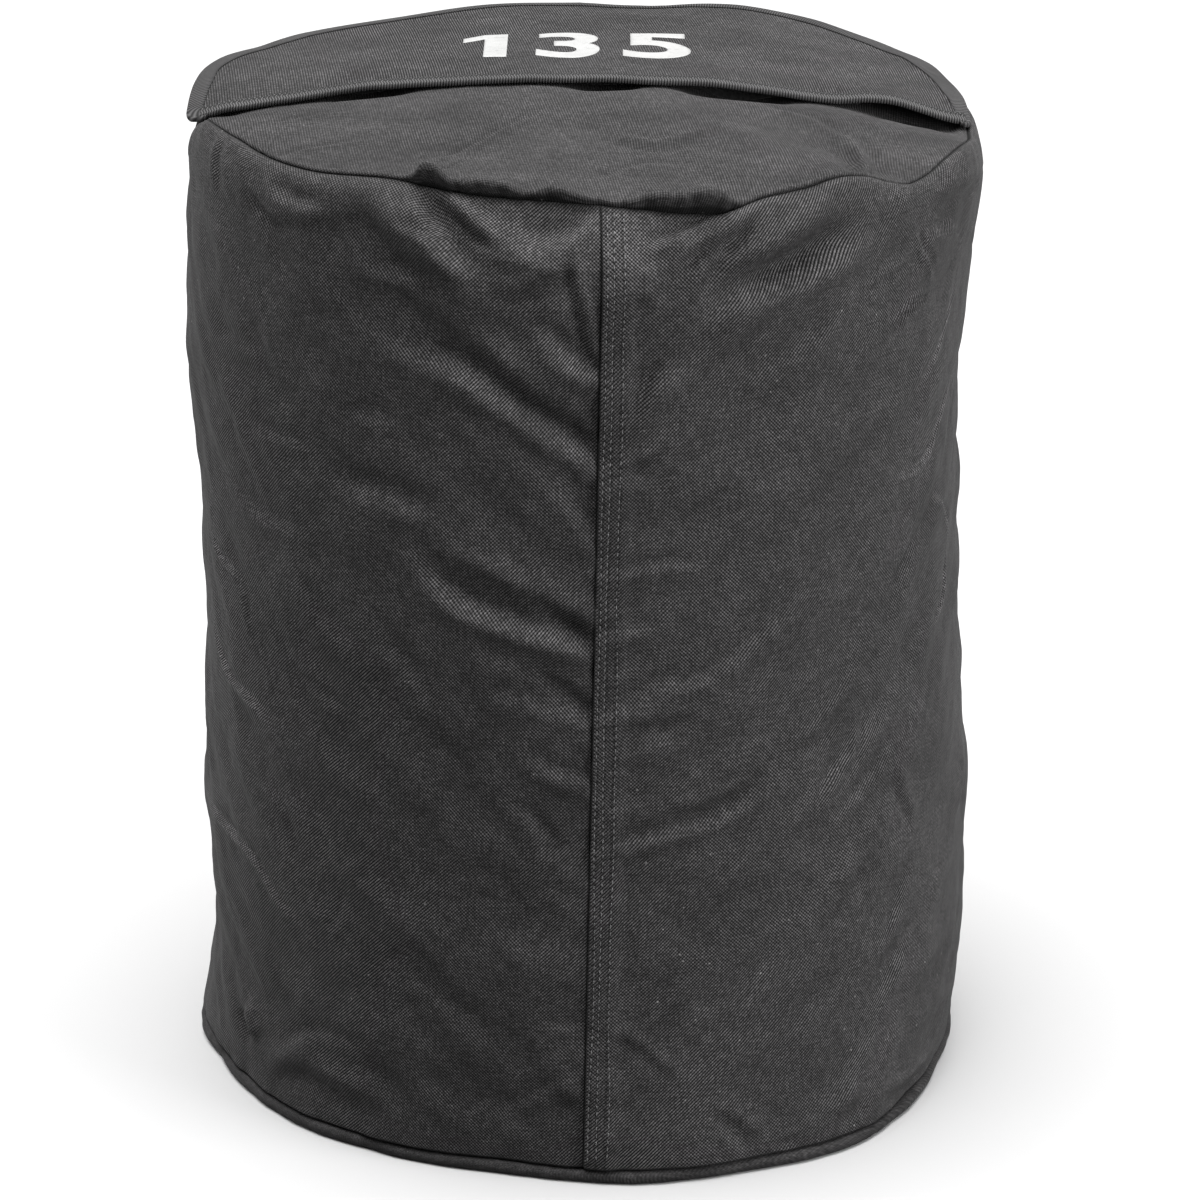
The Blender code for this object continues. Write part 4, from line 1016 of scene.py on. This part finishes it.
def trim_mouth(target):
    """Cut the mouth in the top, and draw the cut edge onto its outline."""
    outline, outward = mouth_outline()
    with reshaping(target.data) as shape:
        inside = {}
        for vertex in shape.verts:
            away = outline - vertex.co.xy
            nearest = int((away[:, 0] ** 2 + away[:, 1] ** 2).argmin())
            if away[nearest] @ outward[nearest] > 0.0:
                inside[vertex] = nearest
        doomed = [vertex for vertex in inside
                  if all(edge.other_vert(vertex) in inside for edge in vertex.link_edges)]
        bmesh.ops.delete(shape, geom=doomed, context="VERTS")
        for vertex, nearest in inside.items():
            if vertex.is_valid:
                vertex.co.x, vertex.co.y = outline[nearest]
    return target


def flap_edge(angle):
    """The radius of the flap's round edge, whose two corners are rounded off."""
    edge = FLAP_RADIUS - FLAP_SHIFT * np.sin(angle)
    x, y = np.sin(angle), -np.cos(angle)
    corner = np.where(x > 0.0, FLAP_CORNERS[1], FLAP_CORNERS[0])
    middle = np.sqrt((edge - corner) ** 2 - corner ** 2)
    ahead = np.abs(x) * middle + y * corner
    rounded = ahead + np.sqrt(np.maximum(ahead ** 2 - middle ** 2, 0.0))
    return np.where(y * middle < np.abs(x) * corner, np.minimum(rounded, edge), edge)


def flap_height(x, y):
    """The height of the flap's outer face."""
    angle, radius = np.arctan2(x, -y), np.hypot(x, y)
    share = radius / seam_radius(angle)
    height = dome(angle, share) + seam_turn(angle) * np.clip(share, 0.0, 1.1) ** 5 + FLAP_LIFT + CLOTH
    height = height + eased(GAPE, x, 0.004) * hump(np.maximum(y, 0.0), 0.0, 0.022)
    return height + 0.0009 * ripple(x, y, 0.034, 0.046, 41) * step_up(FLAP_RADIUS - radius, 0.0, 0.03)


def make_flap():
    """The flap: a half-round cloth laid over the back half of the top."""
    angles = np.linspace(0.5 * pi, 1.5 * pi, 340)
    parts = np.concatenate([np.linspace(0.0, 0.3, 40), np.linspace(0.3, 0.998, 42)[1:]])
    radius = (flap_edge(angles) - IN_TAPE) * (1.0 - parts[:, None])
    x, y = radius * np.sin(angles), np.maximum(-radius * np.cos(angles), IN_TAPE)
    return thicken(grid_object("flap_cloth", grid(x, y, flap_height(x, y)), grid(x, y), FLAP_CLOTH), CLOTH)


def folded_tape(name, spots, inward, height, leg_top, leg_low, finish, closed=False, cloth=CLOTH, wander=0.0,
                seed=1):
    """A binding tape folded over the edge of a cloth.

    Spots are the edge's places and inward their directions into the cloth. Height gives the cloth's
    outer face. The tape's outside runs from its inner edge on top, over the edge, to that below."""
    run = travelled(spots)
    cells = max(int(run[-1] / 0.022), 8)
    top = leg_top + wander * ripple(run, 0.0, (run[-1] + 0.001) / cells, 0.01, seed, cells)
    wide = float(np.mean(top))
    puff = 0.0001 * ripple(run, 0.0, 0.009, 0.01, seed + 50)
    half = cloth / 2.0 + TAPE + 0.0001
    lines = []

    def line(inset, up, v, base=None):
        """One line along the tape, so far in from the edge and above the cloth, or above a base."""
        place = spots + inward * (inset + 0.0 * run)[:, None]
        lines.append((np.column_stack([place, (height(*place.T) if base is None else base) + up]), v))

    line(top, HAIR, wide)
    line(top, TAPE, wide)
    for share, rise in ((0.75, 0.0003), (0.5, 0.0004), (0.25, 0.0003), (0.06, 0.0001)):
        line(top * share, TAPE + rise + puff, wide * share)
    edge = height(*(spots + inward * IN_TAPE).T)
    for turn in np.linspace(0.35 * pi, -0.35 * pi, 6):
        line(-0.0011 * cos(turn), half * sin(turn) - cloth / 2.0, 0.0010 * turn - 0.0012, edge)
    for share, down in ((0.1, TAPE), (0.5, TAPE + 0.0001), (1.0, TAPE), (1.0, HAIR), (0.5, TOUCH),
                        (0.08, TOUCH)):
        line(leg_low * share, -cloth - down, -0.0024 - leg_low * share)
    for share in (0.08, 0.5):
        line(top * share, TOUCH, wide * share)
    points, across = zip(*(lines + lines[:1])[::-1])
    along = travelled(points[0])
    length = along[-1] + np.linalg.norm(points[0][-1] - points[0][0])
    return weld(grid_object(name, np.stack(points), grid(along, np.array(across)[:, None]), finish,
                            closed=(length, 0.0) if closed else None))


def make_edge_tape():
    """The tape round the flap's curved edge and its corners."""
    angles = np.linspace(0.5 * pi, 1.5 * pi, 1600)
    dense = polar(angles, flap_edge(angles), 0.0)[:, :2]
    run = travelled(dense)
    even = np.linspace(0.0, run[-1], 460)
    spots = np.column_stack([np.interp(even, run, dense[:, axis]) for axis in (0, 1)])
    along = np.gradient(spots, axis=0)
    along = along / np.linalg.norm(along, axis=1)[:, None]
    inward = np.column_stack([-along[:, 1], along[:, 0]])
    leg = FLAP_TAPE - 0.0016 * hump(np.minimum(even, run[-1] - even), 0.012, 0.008)
    return folded_tape("flap_edge_binding", spots, inward, flap_height, leg, 0.0070, EDGE_TAPE,
                       wander=0.0009, seed=61)


def make_front_tape():
    """The herringbone tape along the flap's straight front edge."""
    ends = [FLAP_RADIUS + shift - corner for shift, corner in zip((FLAP_SHIFT, -FLAP_SHIFT), FLAP_CORNERS)]
    left, right = (sqrt(reach ** 2 - corner ** 2) for reach, corner in zip(ends, FLAP_CORNERS))
    left, right = -left - 0.0035, right + 0.0030

    def from_end(x):
        return np.minimum(x - left, right - x)

    def height(x, y):
        return flap_height(x, y) + 0.0002 + 0.0007 * (1.0 - step_up(from_end(x), 0.004, 0.016))

    x = np.linspace(left, right, 460)
    spots = np.column_stack([x, 0.0022 * (1.0 - step_up(from_end(x), 0.0, 0.010)) - 0.0002])
    return folded_tape("flap_front_binding", spots, np.array((0.0, 1.0)), height, FLAP_TAPE, 0.0080,
                       FRONT_TAPE, cloth=CLOTH + 0.0004, wander=0.0003, seed=62)


def make_mouth_tape():
    """The tape round the filling mouth."""
    spots, outward = mouth_outline()
    return folded_tape("mouth_binding", spots, outward, top_face, 0.0050, 0.0040, EDGE_TAPE, closed=True,
                       wander=0.0002, seed=63)


def laid_strip(name, front, length, width, height, thick, finish, columns=120, rows=14):
    """A strip laid on a surface, with slightly rounded edges."""
    x = np.linspace(-length / 2.0, length / 2.0, columns)
    x, y = np.meshgrid(x, np.linspace(front, front + width, rows))
    edge = np.minimum(np.minimum(x + length / 2, length / 2 - x), np.minimum(y - front, front + width - y))
    z = height(x, y) + thick * (0.45 + 0.55 * step_up(edge, -0.0002, 0.0015))
    return thicken(grid_object(name, grid(x, y, z), grid(x, y), finish), thick * 0.4)


def make_strips():
    """The loop strip on the top and the hook strip under the flap."""
    return [laid_strip(name, STRIP_FRONT, STRIP_LENGTH, STRIP_WIDTH, height, thick, finish)
            for name, height, thick, finish in (
                ("loop_strip_pile", lambda x, y: top_face(x, y) + 0.0002, 0.0009, STRIP),
                ("hook_strip_pile", lambda x, y: flap_height(x, y) - CLOTH - 0.0010, 0.0006, HOOKS))]


def liner_height(x, y):
    """The height of the inner bag's top."""
    angle = np.arctan2(x, -y)
    wrinkles = 0.0007 * ripple(x, y, 0.017, 0.013, 71) + 0.0004 * ripple(x, y, 0.006, 0.008, 72)
    return dome(angle, np.hypot(x, y) / seam_radius(angle)) - 0.0042 + wrinkles - top_dents(x, y)


def make_filling(name, inset, drop, finish):
    """The inner bag, or the sand that fills it: an upright body with rounded ends."""
    angles = bearings(360)
    foot, head = 0.040, 0.052

    def side(height):
        return wall_radius(angles, height) - inset

    rows = [polar(angles, side(0.05) - foot + foot * cos(turn), LINER_FOOT + drop + foot * (1.0 + sin(turn)))
            for turn in np.linspace(-0.5 * pi, 0.0, 8)]
    rows += [polar(angles, side(height), height) for height in np.linspace(0.05, 0.50, 26)]
    centre = side(0.52) - head
    top = liner_height(centre * np.sin(angles), -centre * np.cos(angles)) - drop
    rows += [polar(angles, centre + head * cos(turn), top - head + head * sin(turn))
             for turn in np.linspace(0.0, 0.5 * pi, 12)]
    for share in np.linspace(1.0, 0.01, 60)[1:]:
        x, y = centre * share * np.sin(angles), -centre * share * np.cos(angles)
        rows.append(grid(x, y, liner_height(x, y) - drop))
    points = np.stack(rows)
    return close_centre(grid_object(name, points, points[..., :2] + points[..., 2:], finish, closed=0.0))


def make_seam_tape(name, radius, low, wide, high):
    """A tape that hangs round the two allowances of a seam, inside the bag."""
    angles = bearings(360)
    out, up = (np.array(((0, 0), (1, 0), (1, 1), (0, 1), (0, 0))) * (wide, high)).T[..., None]
    return weld(grid_object(name, polar(angles, radius(angles) + out - wide / 2.0, low(angles) + up),
                            grid(angles * SEAM_RADIUS, 0.004 * np.arange(5)[:, None]), EDGE_TAPE,
                            closed=(TURN * SEAM_RADIUS, 0.0)), close=False)


def make_neck():
    """The filling neck, folded flat inside the mouth, and the strip that closes it."""
    low, high = 0.0015, 0.0034
    middle, fold = (low + high) / 2.0, (high - low) / 2.0
    profile = [(NECK_FRONT, -0.0006), (NECK_FRONT + 0.0012, low)]
    profile += [(y, low) for y in np.linspace(NECK_FRONT + 0.004, NECK_FOLD, 22)]
    profile += [(NECK_FOLD + fold * cos(turn), middle + fold * sin(turn))
                for turn in np.linspace(-0.5 * pi, 0.5 * pi, 7)[1:-1]]
    profile += [(y, high) for y in np.linspace(NECK_FOLD, NECK_END, 22)]
    x = np.linspace(-NECK_WIDTH / 2.0, NECK_WIDTH / 2.0, 90)
    y, lift = np.array(profile).T[..., None]
    crumple = 0.0003 * ripple(x, y, 0.012, 0.010, 81) * (lift > 0.003)
    neck = grid_object("neck_cloth", grid(x, y, liner_height(x, y) + lift + crumple),
                       grid(x, travelled(profile)[:, None]), LINER)
    strip = laid_strip("neck_closing_strip", 0.0905, 0.110, 0.025,
                       lambda x, y: liner_height(x, y) + high + 0.0008, 0.0009, STRIP, 60, 12)
    return thicken(neck, 0.0007, offset=0.0), strip


def point_on_wall(wall, arc, height):
    """The point and normal of the wall's outside at an arc and a height."""
    x, y = sin(arc / BODY_RADIUS), -cos(arc / BODY_RADIUS)
    found, spot, normal, index = wall.ray_cast(Vector((0.30 * x, 0.30 * y, height)), Vector((-x, -y, 0.0)))
    return (np.array(spot), np.array(normal)) if found else None


def make_lap_stitches(wall):
    """The three rows of stitching that hold the wall's lap."""
    places = []
    for number, row in enumerate(LAP_ROWS):
        for height in np.arange(0.014, 0.566, STITCH_PITCH):
            level = height + (0.2 + 0.31 * number) * STITCH_PITCH
            off = row + 0.0009 * float(ripple(level, 0.3 * number, 0.05, 0.1, 90 + number))
            if number == 2:
                off += 0.0016 * (1.0 - level / RIM_HEIGHT)
            here, there = (point_on_wall(wall, edge_arc(up) + off, up) for up in (level, level + 0.003))
            if here and there:
                places.append((here[0], there[0], here[1]))
    return stitches("lap_stitches", places, 0.0027, 0.00066, THREAD)


def stitches(name, places, length, width, finish):
    """Thread stitches: a short fat capsule at each place, lying along the seam."""
    random = np.random.RandomState(len(places))
    sides, spread = 6, 0.16
    rings = ((-0.5, 0.25, -0.9), (-0.42, 0.7, -0.35), (-0.2, 1.0, 0.05), (0.2, 1.0, 0.05), (0.42, 0.7, -0.35),
             (0.5, 0.25, -0.9))
    vertices, faces = [], []
    for here, there, out in places:
        direction = (there - here) / np.linalg.norm(there - here)
        side = np.cross(direction, out)
        tilt = random.uniform(-spread, spread)
        ahead = direction * cos(tilt) + side * sin(tilt)
        aside = side * cos(tilt) - direction * sin(tilt)
        size = length * random.uniform(0.92, 1.08)
        first = len(vertices)
        vertices += [(here + there) / 2.0 + ahead * (along * size) + aside * (0.5 * width * fat * cos(turn))
                     + out * (0.5 * width * (fat * 0.8 * sin(turn) + rise))
                     for along, fat, rise in rings for turn in bearings(sides)]
        for ring in range(first, first + (len(rings) - 1) * sides, sides):
            for k in range(sides):
                a, b = ring + k, ring + (k + 1) % sides
                faces.append((a, b, b + sides, a + sides))
        faces += [range(first + sides - 1, first - 1, -1), range(len(vertices) - sides, len(vertices))]
    mesh = bpy.data.meshes.new(name)
    mesh.from_pydata([tuple(vertex) for vertex in vertices], [], [tuple(face) for face in faces])
    mesh.uv_layers.new(name="cloth")
    return smooth_object(name, mesh, finish)


def make_base():
    """The base: a round cloth whose soft edge rolls out under the wall."""
    angles = bearings(560)
    arcs = angles * BODY_RADIUS
    wobble = ripple(arcs, 0.0, GIRTH / 44, 0.01, 101, 44)
    pinch = ripple(arcs, 0.0, GIRTH / 150, 0.01, 102, 150)
    roll = BASE_SEAM_HEIGHT / 2.0
    radius = wall_radius(angles, BASE_SEAM_HEIGHT)
    outer = radius + 0.0008 + 0.0012 * wobble
    rows = [polar(angles, radius - inset, BASE_SEAM_HEIGHT - 0.0003) for inset in (0.0090, 0.0050)]
    for turn in np.linspace(0.46 * pi, -0.5 * pi, 12):
        up = roll * (1.0 + sin(turn)) * (1.0 - 0.03 * (1.0 + sin(turn)))
        rows.append(polar(angles, outer - roll + (roll + 0.0004 * pinch) * cos(turn), up + HAIR))
    rows += [polar(angles, (outer - roll) * part, HAIR) for part in np.linspace(0.96, 0.01, 24)]
    points = np.stack(rows)[::-1]
    return close_centre(grid_object("base_cloth", points, points[..., :2] + points[..., 2:], BASE_CLOTH,
                                    closed=0.0))


def make_mark():
    """The plain number on the flap: the load in kilograms."""
    curve = bpy.data.curves.new("figures", "FONT")
    curve.body, curve.offset, curve.space_character = MARK_FIGURES, 0.026, 1.15
    text = linked("figures_drawing", curve)
    mesh = evaluated(text)
    bpy.data.objects.remove(text)
    mesh.name = "weight_mark"
    with reshaping(mesh) as shape:
        bmesh.ops.remove_doubles(shape, verts=shape.verts, dist=0.0005)
        bar = [vertex for vertex in shape.verts if vertex.co.x < FIGURE_ONE_WIDTH]
        bmesh.ops.delete(shape, geom=bar, context="VERTS")
        one = [shape.verts.new((x, y, 0.0)) for x, y in FIGURE_ONE]
        for corners in ((0, 1, 2, 3), (3, 2, 4, 5), (6, 3, 5, 7)):
            shape.faces.new([one[corner] for corner in corners])
        for axis in (0, 1):
            places = [vertex.co[axis] for vertex in shape.verts]
            low, high = min(places), max(places)
            for vertex in shape.verts:
                vertex.co[axis] = (vertex.co[axis] - low) / (high - low)
                vertex.co[axis] = MARK_MIDDLE[axis] + (vertex.co[axis] - 0.5) * MARK_SIZE[axis]
        for normal, start, end in ((Vector((1, 0, 0)), -0.11, 0.10), (Vector((0, 1, 0)), 0.03, 0.18)):
            for place in np.arange(start, end, 0.003):
                bmesh.ops.bisect_plane(shape, geom=shape.verts[:] + shape.edges[:] + shape.faces[:],
                                       plane_co=normal * place, plane_no=normal, dist=0.00001)
        for vertex in shape.verts:
            vertex.co.z = float(flap_height(vertex.co.x, vertex.co.y)) + MARK_LIFT
    return thicken(smooth_object("weight_mark", mesh, PRINT), 0.0002)


def make_stage():
    """The floor, the lights and the camera."""
    mesh = bpy.data.meshes.new("floor")
    mesh.from_pydata(((-30, -30, 0), (30, -30, 0), (30, 30, 0), (-30, 30, 0)), [], [(0, 1, 2, 3)])
    mesh.materials.append(FLOOR)
    linked("floor", mesh)

    world = bpy.data.worlds.new("studio")
    bpy.context.scene.world = world
    world.use_nodes = True
    sky = world.node_tree.nodes["Background"].inputs
    sky[0].default_value, sky[1].default_value = (1.0, 1.0, 1.0, 1.0), 0.12

    sun = bpy.data.lights.new("overhead", "SUN")
    sun.energy, sun.angle = 18.7, radians(66.0)
    linked("overhead", sun, (0.0, 0.0, 3.0)).rotation_euler = (radians(-1.0), radians(-5.0), 0.0)
    for name, place, target, size, power in (
            ("right_box", (2.1, -1.3, 0.95), (0.0, 0.0, 0.35), 1.3, 140.0),
            ("left_box", (-2.2, -0.2, 1.1), (0.0, 0.0, 0.35), 1.2, 16.0),
            ("front_box", (-0.5, -2.0, 2.6), (0.0, 0.0, 0.4), 0.9, 10.0)):
        light = bpy.data.lights.new(name, "AREA")
        light.shape, light.size, light.energy = "SQUARE", size, power
        turned = (Vector(target) - Vector(place)).to_track_quat("-Z", "Y").to_euler()
        linked(name, light, place).rotation_euler = turned

    data = bpy.data.cameras.new("camera")
    data.sensor_width, data.lens = SENSOR, FOCAL_PIXELS / PHOTO_SIDE * SENSOR
    camera = linked("camera", data, CAMERA_PLACE)
    camera.rotation_euler = (0.5 * pi - CAMERA_PITCH, 0.0, 0.0)
    bpy.context.scene.camera = camera
    bpy.context.scene.view_settings.view_transform = "Standard"


def main():
    """Build every piece, hang each on its body where it has one, and hide the model's parts that it stands
    for.
    """
    make_stage()
    wall = make_wall()
    bpy.context.view_layer.update()
    lap = make_lap_stitches(wall)
    top = make_top()
    base = make_base()
    flap = make_flap()
    edge_tape = make_edge_tape()
    front_tape = make_front_tape()
    mouth_tape = make_mouth_tape()
    loops, hooks = make_strips()
    liner = thicken(make_filling("inner_bag_cloth", LINER_INSET, 0.0, LINER), 0.0008)
    sand = make_filling("sand_body", SAND_INSET, SAND_DROP, SAND)
    top_seam = make_seam_tape("top_seam_binding", seam_radius,
                              lambda angle: rim_height(angle) + seam_turn(angle) - ALLOWANCE, 0.0052, 0.0050)
    base_seam = make_seam_tape("base_seam_binding",
                               lambda angle: wall_radius(angle, BASE_SEAM_HEIGHT) - ALLOWANCE,
                               lambda angle: 0.0065, 0.0065, 0.0048)
    neck, closing = make_neck()
    mark = make_mark()

    for made, body, slot, nodes in (
            (wall, "bag", "body_cloth", ["wall_panel"]),
            (top, "bag", "top_cloth", ["top_panel"]),
            (base, "bag", "body_cloth", ["base_panel"]),
            (lap, "bag", "tape", []),
            (mouth_tape, "bag", "tape", ["mouth_tape"]),
            (loops, "bag", "hook_and_loop", ["loop_strip"]),
            (liner, "bag", "liner_cloth", ["liner_bag"]),
            (neck, "bag", "liner_cloth", ["liner_neck"]),
            (closing, "bag", "hook_and_loop", ["neck_closing_tape"]),
            (sand, "bag", "sand", ["sand_fill"]),
            (top_seam, "bag", "tape", ["top_seam_tape"]),
            (base_seam, "bag", "tape", ["base_seam_tape"]),
            (front_tape, "flap", "herringbone_tape", ["flap_front_tape"]),
            (hooks, "flap", "hook_and_loop", ["hook_strip"]),
            (mark, "flap", "top_cloth", []),
            (flap, None, "top_cloth", ["flap_panel", "flap_root"]),
            (edge_tape, None, "tape", ["flap_arc_tape_right", "flap_arc_tape_left", "flap_root_tape"])):
        if body:
            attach(made, body)
        else:
            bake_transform(made)
        if nodes:
            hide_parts(*nodes)


main()
